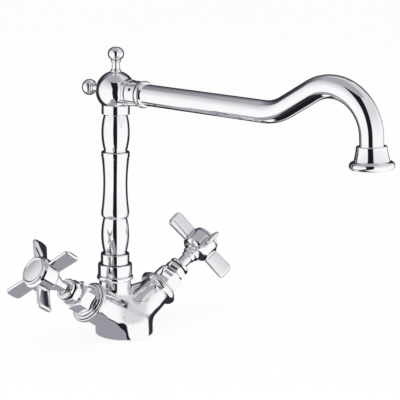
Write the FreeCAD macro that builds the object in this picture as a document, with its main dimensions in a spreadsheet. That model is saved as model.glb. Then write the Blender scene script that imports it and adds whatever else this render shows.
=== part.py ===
import FreeCAD, Part
import Sketcher
import math
import os

# Deck-mounted kitchen mixer tap in polished chrome: a cast body with two rising arms,
# a cross handle on each arm, a turned column that swivels in the body's neck, a ball
# head with two finials and a bent spout that ends in a bell nozzle.
# The origin is the centre of the foot on the deck. Z is up, the arms lie along X with
# the hot valve on the left, and the front of the body faces along minus Y.

doc = FreeCAD.newDocument("MixerTap")
sheet = doc.addObject("Spreadsheet::Sheet", "Sizes")

DRIVING = (
    # cast body
    ("foot_radius", 25.0),
    ("foot_height", 14.0),
    ("shoulder_length", 22.0),
    ("neck_length", 9.6),
    ("neck_step", 2.2),
    ("column_back", 13.8),
    ("spigot_wall", 3.04),
    ("spigot_length", 10.0),
    ("chamber_depth", 25.6),
    ("arm_start_height", 9.3),
    ("arm_angle", 34.0),
    ("arm_wall", 2.5),
    ("arm_length", 41.0),
    ("arm_root", 6.0),
    ("arm_blend", 6.0),
    ("seat_depth", 13.5),
    ("seat_bore_radius", 3.6),
    ("inlet_spread", 10.5),
    ("inlet_radius", 4.5),
    ("inlet_depth", 16.0),
    ("stud_forward", 15.5),
    ("stud_radius", 3.4),
    ("stud_depth", 11.0),
    ("port_radius", 2.0),
    ("port_lift", 2.5),
    ("port_step", 1.5),
    ("base_seal_margin", 2.0),
    ("base_seal_width", 2.6),
    ("base_seal_depth", 1.6),
    # swivel joint between body and column
    ("trim_step", 2.0),
    ("trim_height", 4.5),
    ("trim_crown", 2.6),
    ("nut_wall", 3.25),
    ("nut_height", 10.0),
    ("edge_break", 0.5),
    ("stub_low_radius", 8.5),
    ("stub_step", 1.4),
    ("stub_length", 19.6),
    ("swivel_clearance", 0.06),
    ("axial_play", 0.05),
    ("swivel_gap", 0.3),
    ("washer_thickness", 0.6),
    ("washer_clearance", 0.3),
    ("split_ring_thickness", 0.7),
    ("split_ring_clearance", 0.4),
    ("split_ring_depth", 0.5),
    ("column_seal_section", 2.0),
    ("column_seal_depth", 1.55),
    ("column_groove_slack", 0.4),
    ("column_seal_low_depth", 13.6),
    ("column_seal_high_depth", 2.6),
    ("seal_clearance", 0.02),
    # turned column: lengths from the low collar up, then from the head's collar down
    ("column_bore", 5.0),
    ("collar_low_step", 2.55),
    ("collar_low_length", 9.0),
    ("baluster_low_gap", 1.2),
    ("baluster_neck_radius", 10.1),
    ("baluster_low_length", 30.6),
    ("baluster_swell", 2.0),
    ("foot_bead_step", 2.05),
    ("foot_bead_length", 3.4),
    ("foot_bead_round", 3.4),
    ("foot_bead_land", 1.8),
    ("waist_end_step", 1.75),
    ("waist_sink", 1.6),
    ("lip_step", 0.4),
    ("lip_flare_length", 1.6),
    ("lip_length", 3.8),
    ("baluster_high_gap", 1.6),
    ("baluster_high_length", 30.0),
    ("baluster_high_land", 0.6),
    # ball head
    ("head_height", 211.2),
    ("head_radius", 17.0),
    ("collar_high_radius", 12.05),
    ("collar_drop", 20.0),
    ("head_thread_radius", 8.0),
    ("head_thread_length", 7.0),
    ("thread_relief", 0.5),
    ("head_bore", 5.5),
    ("boss_wall", 3.1),
    ("boss_end", 15.6),
    # finials, from their seats on the ball head outwards
    ("finial_foot_radius", 4.6),
    ("finial_foot_height", 0.6),
    ("finial_neck_step", 1.2),
    ("finial_flare_length", 3.43),
    ("finial_neck_length", 3.8),
    ("finial_bead_step", 0.9),
    ("finial_bead_length", 2.2),
    ("finial_bead_crown", 1.3),
    ("finial_ball_radius", 6.95),
    ("finial_ball_seat_radius", 4.0),
    ("finial_ball_low", 4.8),
    ("finial_ball_high", 5.9),
    ("finial_crown_flat", 0.9),
    ("finial_stud_radius", 2.5),
    ("finial_stud_length", 6.97),
    # spout connector, from the boss outwards
    ("connector_spigot_length", 6.6),
    ("connector_ring_length", 3.2),
    ("connector_ring_step", 2.2),
    ("connector_groove_step", 1.1),
    ("connector_groove_width", 0.6),
    ("sleeve_wall", 1.7),
    ("sleeve_length", 10.5),
    ("bead_edge_step", 1.3),
    ("bead_swell", 1.1),
    ("bead_length", 4.7),
    ("socket_step", 1.2),
    ("spout_washer_thickness", 1.0),
    ("grub_radius", 1.5),
    ("grub_step", 5.8),
    ("grub_angle", 24.0),
    ("grub_sink", 0.25),
    ("grub_key_radius", 0.85),
    ("grub_key_depth", 0.7),
    # bent spout
    ("tube_radius", 9.0),
    ("tube_wall", 1.0),
    ("rest_angle", 10.0),
    ("run_length", 158.2),
    ("rise_angle", 31.65),
    ("low_bend_radius", 39.4),
    ("slope_length", 27.65),
    ("high_bend_radius", 35.75),
    ("drop_angle", 86.0),
    ("tail_length", 9.0),
    # bell nozzle, along the flow from the end of the high bend
    ("bell_start", 3.0),
    ("bell_wall", 2.1),
    ("bell_straight_length", 2.6),
    ("bell_flare_step", 2.7),
    ("bell_flare_length", 8.8),
    ("bell_flare_sink", 0.75),
    ("rim_step", 2.8),
    ("rim_crown", 3.2),
    ("rim_length", 6.0),
    ("aerator_step", 1.6),
    ("aerator_pocket_depth", 8.9),
    ("aerator_gasket_thickness", 1.2),
    ("aerator_wall", 1.4),
    ("aerator_plate", 1.5),
    ("aerator_set_back", 0.8),
    ("aerator_hole_radius", 1.1),
    ("aerator_hole_circle", 5.6),
    ("screen_thickness", 0.9),
    ("screen_lift", 0.7),
    ("screen_slot_width", 0.8),
    ("screen_slot_start", 2.4),
    ("screen_slot_length", 5.8),
    # valve set, along the arm from the arm's end outwards
    ("bonnet_thread_radius", 9.5),
    ("flange_clearance", 0.2),
    ("flange_back_step", 3.0),
    ("flange_swell", 2.9),
    ("flange_back_length", 3.4),
    ("flange_front_step", 2.3),
    ("flange_front_length", 3.0),
    ("flange_land_step", 1.2),
    ("flange_land_length", 2.2),
    ("bonnet_wall", 1.8),
    ("bonnet_length", 14.4),
    ("hex_chamfer", 1.0),
    ("bonnet_gap", 0.5),
    ("bonnet_relief_step", 1.2),
    ("bonnet_relief_length", 5.0),
    ("cartridge_wall", 1.0),
    ("cartridge_depth", 9.5),
    ("gland_wall", 2.8),
    ("gland_depth", 7.0),
    ("packing_thickness", 1.0),
    ("gland_step", 1.4),
    ("gland_length", 11.0),
    ("spindle_radius", 5.0),
    ("spindle_clearance", 0.06),
    ("driver_clearance", 0.4),
    ("driver_length", 3.45),
    ("thrust_thickness", 0.5),
    ("stem_seal_section", 1.6),
    ("stem_seal_depth", 1.3),
    ("stem_groove_slack", 0.4),
    ("stem_seal_rise", 5.5),
    ("stem_seal_pitch", 4.5),
    ("spline_step", 0.6),
    ("spline_set_in", 1.7),
    ("spline_length", 12.0),
    ("disc_thickness", 1.9),
    ("disc_gap", 0.03),
    ("disc_port_radius", 1.5),
    ("disc_port_circle", 4.3),
    # cross handles
    ("hot_rest_angle", 44.7),
    ("cold_rest_angle", 59.5),
    ("handle_gap", 9.3),
    ("hub_neck_wall", 1.3),
    ("hub_neck_length", 5.2),
    ("hub_radius", 14.0),
    ("hub_cone_length", 6.7),
    ("hub_barrel_length", 12.4),
    ("hub_front_step", 1.4),
    ("hub_front_length", 1.8),
    ("hub_counterbore_clearance", 0.1),
    ("paddle_set_back", 8.4),
    ("paddle_bury", 4.5),
    ("paddle_root_width", 11.8),
    ("paddle_reach", 20.8),
    ("paddle_tip_width", 15.6),
    ("paddle_corner", 3.2),
    ("paddle_thickness", 4.6),
    ("screw_radius", 2.0),
    ("screw_clearance", 0.15),
    ("screw_head_step", 1.6),
    ("screw_web", 4.0),
    ("screw_head_height", 2.5),
    ("screw_length", 12.0),
    ("screw_pocket_clearance", 0.8),
    ("screw_key_radius", 1.6),
    ("screw_key_depth", 1.3),
    ("cap_recess_depth", 3.8),
    ("cap_margin", 0.3),
    ("cap_lip", 2.9),
    ("cap_rim", 1.0),
    ("cap_height", 2.3),
    ("cap_round", 2.7),
    # overrun of cutting tools past the faces that they open
    ("overrun", 4.0),
)


class Size:
    """A size with the sheet expression that gives it."""

    def __init__(self, value, text):
        self.value = float(value)
        self.text = text

    def __add__(self, other):
        other = as_size(other)
        return Size(self.value + other.value, "(%s + %s)" % (self.text, other.text))

    def __sub__(self, other):
        other = as_size(other)
        return Size(self.value - other.value, "(%s - %s)" % (self.text, other.text))

    def __rsub__(self, other):
        return as_size(other) - self

    def __mul__(self, other):
        other = as_size(other)
        return Size(self.value * other.value, "(%s * %s)" % (self.text, other.text))

    def __truediv__(self, other):
        other = as_size(other)
        return Size(self.value / other.value, "(%s / %s)" % (self.text, other.text))

    def __neg__(self):
        return Size(0, "0") - self

    __radd__ = __add__
    __rmul__ = __mul__


def as_size(number):
    if isinstance(number, Size):
        return number
    return Size(number, repr(float(number)))


def root(size):
    return Size(math.sqrt(size.value), "sqrt(%s)" % size.text)


def sine(angle):
    angle = as_size(angle)
    return Size(math.sin(math.radians(angle.value)), "sin(%s)" % angle.text)


def cosine(angle):
    angle = as_size(angle)
    return Size(math.cos(math.radians(angle.value)), "cos(%s)" % angle.text)


def bearing(side, ahead):
    """Angle whose tangent is one size over another."""
    angle = math.degrees(math.atan2(side.value, ahead.value))
    return Size(angle, "(atan2(%s; %s) / 1deg)" % (side.text, ahead.text))


def arc_radius(chord, rise):
    """Radius of the arc that rises so far over its chord."""
    return (chord * chord / 4 + rise * rise) / (2 * rise)


def crown_rise(radius, chord):
    """How far an arc of this radius rises over its chord."""
    return radius - root(radius * radius - chord * chord / 4)


def tangent_radius(side, along):
    """Radius of an arc that leaves its widest point square and moves this far in."""
    return (side * side + along * along) / (2 * side)


class Named:
    """All driving sizes, by name."""


d = Named()
for row, (alias, number) in enumerate(DRIVING, 1):
    sheet.set("A%d" % row, alias)
    sheet.set("B%d" % row, str(number))
    sheet.setAlias("B%d" % row, alias)
    setattr(d, alias, Size(number, "Sizes." + alias))
doc.recompute()

# Heights and radii that follow from the driving sizes: body and swivel joint.
d.shoulder_height = d.foot_height + d.shoulder_length
d.neck_height = d.shoulder_height + d.neck_length
d.chamber_floor = d.neck_height - d.chamber_depth
d.port_height = d.chamber_floor + d.port_lift
d.column_bore_radius = d.stub_low_radius + d.swivel_clearance
d.spigot_radius = d.column_bore_radius + d.spigot_wall
d.neck_radius = d.spigot_radius + d.neck_step
d.trim_radius = d.neck_radius + d.trim_step
d.nut_radius = d.spigot_radius + d.nut_wall
d.stub_radius = d.stub_low_radius + d.stub_step
d.stub_bottom = d.neck_height - d.stub_length
d.split_ring_radius = d.spigot_radius - d.split_ring_clearance
d.column_seal_low_height = d.neck_height - d.column_seal_low_depth
d.column_seal_high_height = d.neck_height - d.column_seal_high_depth
d.base_seal_outer = d.foot_radius - d.base_seal_margin
d.base_seal_inner = d.base_seal_outer - d.base_seal_width
d.spigot_top = d.neck_height + d.spigot_length
d.trim_top = d.neck_height + d.trim_height
d.nut_top = d.trim_top + d.nut_height
d.washer_top = d.spigot_top + d.washer_thickness
d.split_low = d.washer_top + d.axial_play
d.split_top = d.split_low + d.split_ring_thickness
d.lip_low = d.split_top + d.axial_play

# Column, from its low collar up and from the head's collar down; the waist takes what is left.
d.column_low = d.nut_top + d.swivel_gap
d.collar_low_radius = d.stub_radius + d.collar_low_step
d.collar_low_top = d.column_low + d.collar_low_length
d.baluster_low_start = d.collar_low_top + d.baluster_low_gap
d.baluster_low_end = d.baluster_low_start + d.baluster_low_length
d.foot_bead_radius = d.baluster_neck_radius + d.foot_bead_step
d.foot_bead_height = d.baluster_low_end + d.foot_bead_length
d.waist_start = d.foot_bead_height + d.foot_bead_land
d.collar_bottom = d.head_height - d.collar_drop
d.baluster_high_end = d.collar_bottom - d.baluster_high_land
d.baluster_high_start = d.baluster_high_end - d.baluster_high_length
d.lip_end = d.baluster_high_start - d.baluster_high_gap
d.lip_start = d.lip_end - d.lip_length
d.waist_end = d.lip_start - d.lip_flare_length
d.waist_end_radius = d.baluster_neck_radius + d.waist_end_step
d.lip_radius = d.waist_end_radius + d.lip_step

# Head, finials and connector, from the centre of the ball head.
d.boss_radius = d.head_thread_radius + d.boss_wall
d.finial_seat = root(d.head_radius * d.head_radius - d.finial_foot_radius * d.finial_foot_radius)
d.finial_stud_start = d.finial_seat - d.finial_stud_length
d.finial_neck_radius = d.finial_foot_radius - d.finial_neck_step
d.finial_bead_radius = d.finial_neck_radius + d.finial_bead_step
d.finial_neck_start = d.finial_seat + d.finial_foot_height + d.finial_flare_length
d.finial_neck_end = d.finial_neck_start + d.finial_neck_length
d.finial_bead_end = d.finial_neck_end + d.finial_bead_length
d.finial_ball_middle = d.finial_bead_end + d.finial_ball_low
d.finial_ball_top = d.finial_ball_middle + d.finial_ball_high
d.connector_ring_end = d.boss_end + d.connector_ring_length
d.connector_ring_radius = d.tube_radius + d.connector_ring_step
d.connector_groove_radius = d.tube_radius + d.connector_groove_step
d.sleeve_radius = d.tube_radius + d.sleeve_wall
d.sleeve_end = d.connector_ring_end + d.sleeve_length
d.bead_start = d.sleeve_end + d.connector_groove_width
d.bead_start_radius = d.tube_radius + d.bead_edge_step
d.bead_end = d.bead_start + d.bead_length
d.socket_floor = d.connector_ring_end + d.socket_step
d.grub_distance = d.connector_ring_end + d.grub_step

# Nozzle, along the flow.
d.bell_shoulder_radius = d.tube_radius + d.bell_wall
d.bell_straight_end = d.bell_start + d.bell_straight_length
d.bell_flare_end = d.bell_straight_end + d.bell_flare_length
d.bell_flare_radius = d.bell_shoulder_radius + d.bell_flare_step
d.rim_radius = d.bell_flare_radius + d.rim_step
d.rim_end = d.bell_flare_end + d.rim_length
d.aerator_radius = d.tube_radius + d.aerator_step
d.aerator_pocket_start = d.rim_end - d.aerator_pocket_depth
d.screen_slot_end = d.screen_slot_start + d.screen_slot_length

# Valve set and handle, along the arm from the point where the arms meet.
d.arm_radius = d.bonnet_thread_radius + d.arm_wall
d.seat_distance = d.arm_length - d.seat_depth
d.port_distance = d.seat_distance + d.port_step
d.flange_back_radius = d.arm_radius + d.flange_back_step
d.flange_radius = d.flange_back_radius + d.flange_swell
d.flange_widest = d.arm_length + d.flange_back_length
d.flange_front_radius = d.flange_radius - d.flange_front_step
d.flange_front = d.flange_widest + d.flange_front_length
d.flange_step_radius = d.flange_front_radius - d.flange_land_step
d.flange_end = d.flange_front + d.flange_land_length
d.bonnet_across = 2 * (d.bonnet_thread_radius + d.bonnet_wall)
d.bonnet_end = d.flange_end + d.bonnet_length
d.bonnet_start = d.seat_distance + d.bonnet_gap
d.bonnet_relief_radius = d.bonnet_thread_radius - d.bonnet_relief_step
d.bonnet_relief_end = d.bonnet_start + d.bonnet_relief_length
d.cartridge_radius = d.bonnet_relief_radius - d.cartridge_wall
d.cartridge_top = d.bonnet_start + d.cartridge_depth
d.gland_thread_radius = d.spindle_radius + d.gland_wall
d.packing_start = d.bonnet_end - d.gland_depth
d.gland_across = 2 * (d.gland_thread_radius + d.gland_step)
d.gland_end = d.bonnet_end + d.gland_length
d.driver_radius = d.cartridge_radius - d.driver_clearance
d.thrust_low = d.cartridge_top - d.thrust_thickness
d.driver_end = d.thrust_low - d.axial_play
d.driver_start = d.driver_end - d.driver_length
d.stem_seal_low_distance = d.cartridge_top + d.stem_seal_rise
d.stem_seal_high_distance = d.stem_seal_low_distance + d.stem_seal_pitch
d.hub_start = d.gland_end + d.handle_gap
d.hub_neck_radius = d.spindle_radius + d.hub_neck_wall
d.hub_neck_end = d.hub_start + d.hub_neck_length
d.hub_cone_end = d.hub_neck_end + d.hub_cone_length
d.hub_barrel_end = d.hub_cone_end + d.hub_barrel_length
d.hub_front_radius = d.hub_radius - d.hub_front_step
d.hub_front = d.hub_barrel_end + d.hub_front_length
d.spline_radius = d.spindle_radius - d.spline_step
d.spline_start = d.hub_start + d.spline_set_in
d.spline_end = d.spline_start + d.spline_length
d.paddle_middle = d.hub_front - d.paddle_set_back
d.paddle_root = d.hub_radius - d.paddle_bury
d.paddle_tip = d.hub_radius + d.paddle_reach
d.screw_head_radius = d.screw_radius + d.screw_head_step
d.screw_head_seat = d.spline_end + d.screw_web
d.screw_tip = d.screw_head_seat - d.screw_length
d.screw_pocket_radius = d.screw_head_radius + d.screw_pocket_clearance
d.cap_recess_start = d.hub_front - d.cap_recess_depth
d.cap_radius = d.hub_front_radius - d.cap_margin
d.cap_spigot_radius = d.cap_radius - d.cap_lip
d.cap_face_radius = d.cap_radius - d.cap_round
d.cap_end = d.hub_front + d.cap_height

RIGHT_ANGLE = 90
FULL_TURN = 360
HEX_SIDES = 6
PADDLES = 4
DISC_PORTS = 2
AERATOR_HOLES = 8
SCREEN_SLOTS = 12

pieces = []


def keep(thing, name):
    """Names a finished sub-part and lists it for writing."""
    thing.Label = name
    pieces.append(thing)
    return thing


def step(x=0, y=0, z=0, yaw=0, pitch=0, roll=0):
    """One move as sheet text: a shift, then turns about Z, Y and X."""
    numbers = tuple(as_size(v).text for v in (x, y, z, yaw, pitch, roll))
    shift = "create(<<vector>>; %s; %s; %s)" % numbers[:3]
    turn = "create(<<rotation>>; %s; %s; %s)" % numbers[3:]
    return "create(<<placement>>; %s; %s)" % (shift, turn)


def place(thing, *steps):
    thing.setExpression("Placement", " * ".join(steps))
    return thing


def body_plane(body, role):
    return [f for f in body.Origin.OriginFeatures if f.Role == role][0]


def new_sketch(body, name, role):
    sketch = body.newObject("Sketcher::SketchObject", name)
    sketch.AttachmentSupport = (body_plane(body, role), [""])
    sketch.MapMode = "FlatFace"
    return sketch


def tie(sketch, kind, where, size):
    """Adds a dimension that follows the sheet."""
    size = as_size(size)
    index = sketch.addConstraint(Sketcher.Constraint(kind, *where, size.value))
    sketch.setExpression("Constraints[%d]" % index, size.text)


def pin_point(sketch, edge, end, across, up):
    """Holds one end of an edge at its two coordinates."""
    across = as_size(across)
    up = as_size(up)
    if across.value == 0:
        sketch.addConstraint(Sketcher.Constraint("PointOnObject", edge, end, -2))
    else:
        tie(sketch, "DistanceX", (-1, 1, edge, end), across)
    if up.value == 0:
        sketch.addConstraint(Sketcher.Constraint("PointOnObject", edge, end, -1))
    else:
        tie(sketch, "DistanceY", (-1, 1, edge, end), up)


def trace(sketch, points, closed=True):
    """Draws an outline of straight edges and arcs.

    A point is (across, up), or (across, up, radius) where the edge that follows is an arc
    that swells to the right of the way of travel, or has "hollow" after the radius where
    it swells to the left.
    """
    count = len(points) if closed else len(points) - 1
    ends = []
    for i in range(count):
        here = points[i]
        there = points[(i + 1) % len(points)]
        a = FreeCAD.Vector(as_size(here[0]).value, as_size(here[1]).value, 0)
        b = FreeCAD.Vector(as_size(there[0]).value, as_size(there[1]).value, 0)
        if len(here) == 2:
            sketch.addGeometry(Part.LineSegment(a, b), False)
            ends.append((1, 2))
            continue
        radius = here[2].value
        hollow = len(here) == 4
        along = b - a
        left = FreeCAD.Vector(-along.y, along.x, 0)
        left.normalize()
        reach = math.sqrt(max(radius * radius - along.Length * along.Length / 4, 0))
        centre = (a + b) * 0.5 + left * (-reach if hollow else reach)
        first, last = (b, a) if hollow else (a, b)
        start = math.atan2(first.y - centre.y, first.x - centre.x)
        stop = math.atan2(last.y - centre.y, last.x - centre.x)
        circle = Part.Circle(centre, FreeCAD.Vector(0, 0, 1), radius)
        sketch.addGeometry(Part.ArcOfCircle(circle, start, stop), False)
        ends.append((2, 1) if hollow else (1, 2))
    for i in range(count - (0 if closed else 1)):
        after = (i + 1) % count
        joint = Sketcher.Constraint("Coincident", i, ends[i][1], after, ends[after][0])
        sketch.addConstraint(joint)
    for i in range(count):
        pin_point(sketch, i, ends[i][0], points[i][0], points[i][1])
        if len(points[i]) > 2:
            tie(sketch, "Radius", (i,), points[i][2])
    if not closed:
        pin_point(sketch, count - 1, ends[-1][1], points[-1][0], points[-1][1])


def turned(name, points):
    """A piece turned about its own Z axis; points are (radius, height)."""
    body = doc.addObject("PartDesign::Body", name)
    sketch = new_sketch(body, name + "_outline", "XZ_Plane")
    trace(sketch, points)
    solid = body.newObject("PartDesign::Revolution", name + "_turning")
    solid.Profile = sketch
    solid.ReferenceAxis = (sketch, ["V_Axis"])
    solid.Angle = FULL_TURN
    body.Tip = solid
    return body


def ring(name, inner, outer, low, high):
    """A plain ring or washer."""
    return turned(name, [(inner, low), (outer, low), (outer, high), (inner, high)])


def rod(name, radius, length):
    thing = doc.addObject("Part::Cylinder", name)
    thing.setExpression("Radius", as_size(radius).text)
    thing.setExpression("Height", as_size(length).text)
    return thing


def hexagon(name, across, low, high):
    """A hexagon bar from one height to another, with the corners of its top taken off."""
    corner = across / root(as_size(3))
    bar = doc.addObject("Part::Prism", name + "_bar")
    bar.Polygon = HEX_SIDES
    bar.setExpression("Circumradius", corner.text)
    bar.setExpression("Height", (high - low).text)
    place(bar, step(z=low))
    edge = corner - d.hex_chamfer
    points = [(0, low), (edge, low), (corner, low + d.hex_chamfer / 2)]
    points += [(corner, high - d.hex_chamfer), (edge, high), (0, high)]
    blank = turned(name + "_blank", points)
    common = doc.addObject("Part::Common", name + "_hexagon")
    common.Base = bar
    common.Tool = blank
    return common


def fused(name, things):
    thing = doc.addObject("Part::MultiFuse", name)
    thing.Shapes = things
    thing.Refine = True
    return thing


def cut(name, base, tools):
    tool = tools[0] if len(tools) == 1 else fused(name + "_tools", tools)
    thing = doc.addObject("Part::Cut", name)
    thing.Base = base
    thing.Tool = tool
    thing.Refine = True
    return thing


def around(body, feature, count):
    """Repeats a feature of a turned body evenly about its axis."""
    pattern = body.newObject("PartDesign::PolarPattern", body.Name + "_pattern")
    pattern.Originals = [feature]
    pattern.Axis = (body_plane(body, "Z_Axis"), [""])
    pattern.Angle = FULL_TURN
    pattern.Occurrences = count
    body.Tip = pattern
    return pattern


# Ways in which the groups stand: on the column's axis, along the spout, along an arm.
column_way = step(y=d.column_back, yaw=d.rest_angle)
head_way = step(y=d.column_back, z=d.head_height, yaw=d.rest_angle)
spout_way = step(y=d.column_back, z=d.head_height, yaw=d.rest_angle, roll=RIGHT_ANGLE)
rear_way = step(y=d.column_back, z=d.head_height, yaw=d.rest_angle, roll=-RIGHT_ANGLE)
arm_ways = {
    "hot": step(z=d.arm_start_height, pitch=d.arm_angle - RIGHT_ANGLE),
    "cold": step(z=d.arm_start_height, pitch=RIGHT_ANGLE - d.arm_angle),
}

# Seal grooves of the column's stub.
column_seal_floor = d.stub_low_radius - d.column_seal_depth
column_groove_half = (d.column_seal_section + d.column_groove_slack) / 2

# Cast body: a round foot whose shoulder leans back to the column's neck, and two arms.
# The shares give how far the shoulder has drawn in at each share of its height.
shoulder_shares = ((0, 0), (0.25, 0.156), (0.5, 0.5), (0.75, 0.844), (1, 1))
stations = [(as_size(0), as_size(0)), (d.foot_height / 2, as_size(0))]
for height_share, draw_share in shoulder_shares:
    height = d.foot_height + (d.shoulder_height - d.foot_height) * height_share
    stations.append((height, as_size(draw_share)))
stations.append(((d.shoulder_height + d.neck_height) / 2, as_size(1)))
stations.append((d.neck_height, as_size(1)))
sections = []
for number, (height, draw) in enumerate(stations, 1):
    section = doc.addObject("Part::Circle", "Shoulder%d" % number)
    section.setExpression("Radius", (d.foot_radius - (d.foot_radius - d.neck_radius) * draw).text)
    sections.append(place(section, step(y=d.column_back * draw, z=height)))
shoulder = doc.addObject("Part::Loft", "Shoulder")
shoulder.Sections = sections
shoulder.Solid = True
arms = []
for side in ("hot", "cold"):
    arm = rod(side.capitalize() + "Arm", d.arm_radius, d.arm_length - d.arm_root)
    arms.append(place(arm, arm_ways[side], step(z=d.arm_root)))
casting = fused("Casting", [shoulder] + arms)
doc.recompute()


def is_arm_seam(shape, edge):
    """True for the curves along which an arm runs into the shoulder."""
    curved = edge.Curve.TypeId == "Part::GeomBSplineCurve"
    level = edge.BoundBox.ZLength < d.foot_height.value / 100
    return curved and not level and len(shape.ancestorsOfType(edge, Part.Face)) == 2


arm_seams = [i for i, e in enumerate(casting.Shape.Edges, 1) if is_arm_seam(casting.Shape, e)]
blended = doc.addObject("Part::Fillet", "BlendedCasting")
blended.Base = casting
blended.Edges = [(i, d.arm_blend.value, d.arm_blend.value) for i in arm_seams]
doc.recompute()
if blended.Shape.isNull() or not blended.Shape.isValid():
    raise RuntimeError("the arms' blends failed")

spigot = rod("Spigot", d.spigot_radius, d.spigot_length)
place(spigot, step(y=d.column_back, z=d.neck_height))
solid_body = fused("SolidBody", [blended, spigot])

# Waterways and fixings: column bore, valve bores, seats, inlets, ports, stud and seal groove.
hollows = []
column_hole = rod("ColumnHole", d.column_bore_radius, d.spigot_top - d.chamber_floor + d.overrun)
hollows.append(place(column_hole, step(y=d.column_back, z=d.chamber_floor)))
for side in ("hot", "cold"):
    turn = 1 if side == "cold" else -1
    title = side.capitalize()
    valve_depth = d.arm_length - d.seat_distance + d.overrun
    valve_hole = rod(title + "ValveHole", d.bonnet_thread_radius, valve_depth)
    hollows.append(place(valve_hole, arm_ways[side], step(z=d.seat_distance)))
    inlet_meet = d.inlet_spread / cosine(d.arm_angle)
    seat_hole = rod(title + "SeatHole", d.seat_bore_radius, d.seat_distance - inlet_meet + d.overrun)
    hollows.append(place(seat_hole, arm_ways[side], step(z=inlet_meet)))
    inlet = rod(title + "Inlet", d.inlet_radius, d.inlet_depth + d.overrun)
    hollows.append(place(inlet, step(x=turn * d.inlet_spread, z=-d.overrun)))
    across = d.port_distance * cosine(d.arm_angle)
    climb = d.arm_start_height + d.port_distance * sine(d.arm_angle) - d.port_height
    level = root(across * across + d.column_back * d.column_back)
    port_length = root(level * level + climb * climb)
    swing = bearing(d.column_back, across)
    tilt = bearing(level, climb)
    port = rod(title + "Port", d.port_radius, port_length)
    yaw = -swing if side == "cold" else swing - 2 * RIGHT_ANGLE
    hollows.append(place(port, step(y=d.column_back, z=d.port_height, yaw=yaw, pitch=tilt)))
stud_hole = rod("StudHole", d.stud_radius, d.stud_depth + d.overrun)
hollows.append(place(stud_hole, step(y=-d.stud_forward, z=-d.overrun)))
seal_groove = ring("SealGroove", d.base_seal_inner, d.base_seal_outer, -d.overrun, d.base_seal_depth)
hollows.append(seal_groove)
keep(cut("MixerBody", solid_body, hollows), "mixer_body")

# Rubber ring let into the underside of the foot, which seals the foot to the deck.
keep(ring("BaseSeal", d.base_seal_inner, d.base_seal_outer, as_size(0), d.base_seal_depth), "base_seal")

# Half-round trim ring on the shoulder of the neck.
trim_edge = d.trim_radius - crown_rise(d.trim_crown, d.trim_height)
trim = turned("TrimRing", [
    (d.spigot_radius, d.neck_height),
    (trim_edge, d.neck_height, d.trim_crown),
    (trim_edge, d.trim_top),
    (d.spigot_radius, d.trim_top),
])
keep(place(trim, step(y=d.column_back)), "trim_ring")

# Union nut screwed on the spigot; its lip holds the column's split ring down.
nut = turned("SwivelNut", [
    (d.spigot_radius, d.trim_top),
    (d.nut_radius - d.edge_break, d.trim_top),
    (d.nut_radius, d.trim_top + d.edge_break),
    (d.nut_radius, d.nut_top - d.edge_break),
    (d.nut_radius - d.edge_break, d.nut_top),
    (d.stub_radius + d.swivel_clearance, d.nut_top),
    (d.stub_radius + d.swivel_clearance, d.lip_low),
    (d.spigot_radius, d.lip_low),
])
keep(place(nut, step(y=d.column_back)), "swivel_nut")

# Acetal washer that the column's split ring turns on.
washer = ring("BearingWasher", d.stub_low_radius + d.washer_clearance,
              d.spigot_radius - d.washer_clearance, d.spigot_top, d.washer_top)
keep(place(washer, step(y=d.column_back)), "bearing_washer")

# Column: a turned tube with a low collar, two balusters, a waist and a lip, and a stub
# with two seal grooves below that turns in the neck.
seal_low = d.column_seal_low_height
seal_high = d.column_seal_high_height
baluster_low_arc = arc_radius(d.baluster_low_end - d.baluster_low_start, d.baluster_swell)
baluster_high_arc = arc_radius(d.baluster_high_end - d.baluster_high_start, d.baluster_swell)
waist_arc = arc_radius(d.waist_end - d.waist_start, d.waist_sink)
stub_groove = d.stub_low_radius - d.split_ring_depth
column = turned("Column", [
    (d.column_bore, d.stub_bottom),
    (d.stub_low_radius, d.stub_bottom),
    (d.stub_low_radius, seal_low - column_groove_half),
    (column_seal_floor, seal_low - column_groove_half),
    (column_seal_floor, seal_low + column_groove_half),
    (d.stub_low_radius, seal_low + column_groove_half),
    (d.stub_low_radius, seal_high - column_groove_half),
    (column_seal_floor, seal_high - column_groove_half),
    (column_seal_floor, seal_high + column_groove_half),
    (d.stub_low_radius, seal_high + column_groove_half),
    (d.stub_low_radius, d.split_low),
    (stub_groove, d.split_low),
    (stub_groove, d.split_top),
    (d.stub_radius, d.split_top),
    (d.stub_radius, d.column_low),
    (d.collar_low_radius - d.edge_break, d.column_low),
    (d.collar_low_radius, d.column_low + d.edge_break),
    (d.collar_low_radius, d.collar_low_top - d.edge_break),
    (d.collar_low_radius - d.edge_break, d.collar_low_top),
    (d.baluster_neck_radius, d.collar_low_top),
    (d.baluster_neck_radius, d.baluster_low_start, baluster_low_arc),
    (d.baluster_neck_radius, d.baluster_low_end, d.foot_bead_round),
    (d.foot_bead_radius, d.foot_bead_height),
    (d.foot_bead_radius, d.waist_start, waist_arc, "hollow"),
    (d.waist_end_radius, d.waist_end),
    (d.lip_radius, d.lip_start),
    (d.lip_radius, d.lip_end - d.edge_break),
    (d.lip_radius - d.edge_break, d.lip_end),
    (d.baluster_neck_radius, d.lip_end),
    (d.baluster_neck_radius, d.baluster_high_start, baluster_high_arc),
    (d.baluster_neck_radius, d.baluster_high_end),
    (d.baluster_neck_radius, d.collar_bottom),
    (d.head_thread_radius, d.collar_bottom),
    (d.head_thread_radius, d.collar_bottom + d.head_thread_length),
    (d.column_bore, d.collar_bottom + d.head_thread_length),
])
keep(place(column, column_way), "column")

# Split ring snapped into the stub's groove, under the union nut's lip.
split = ring("SplitRing", stub_groove, d.split_ring_radius, d.split_low, d.split_top)
keep(place(split, column_way), "split_ring")

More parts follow.
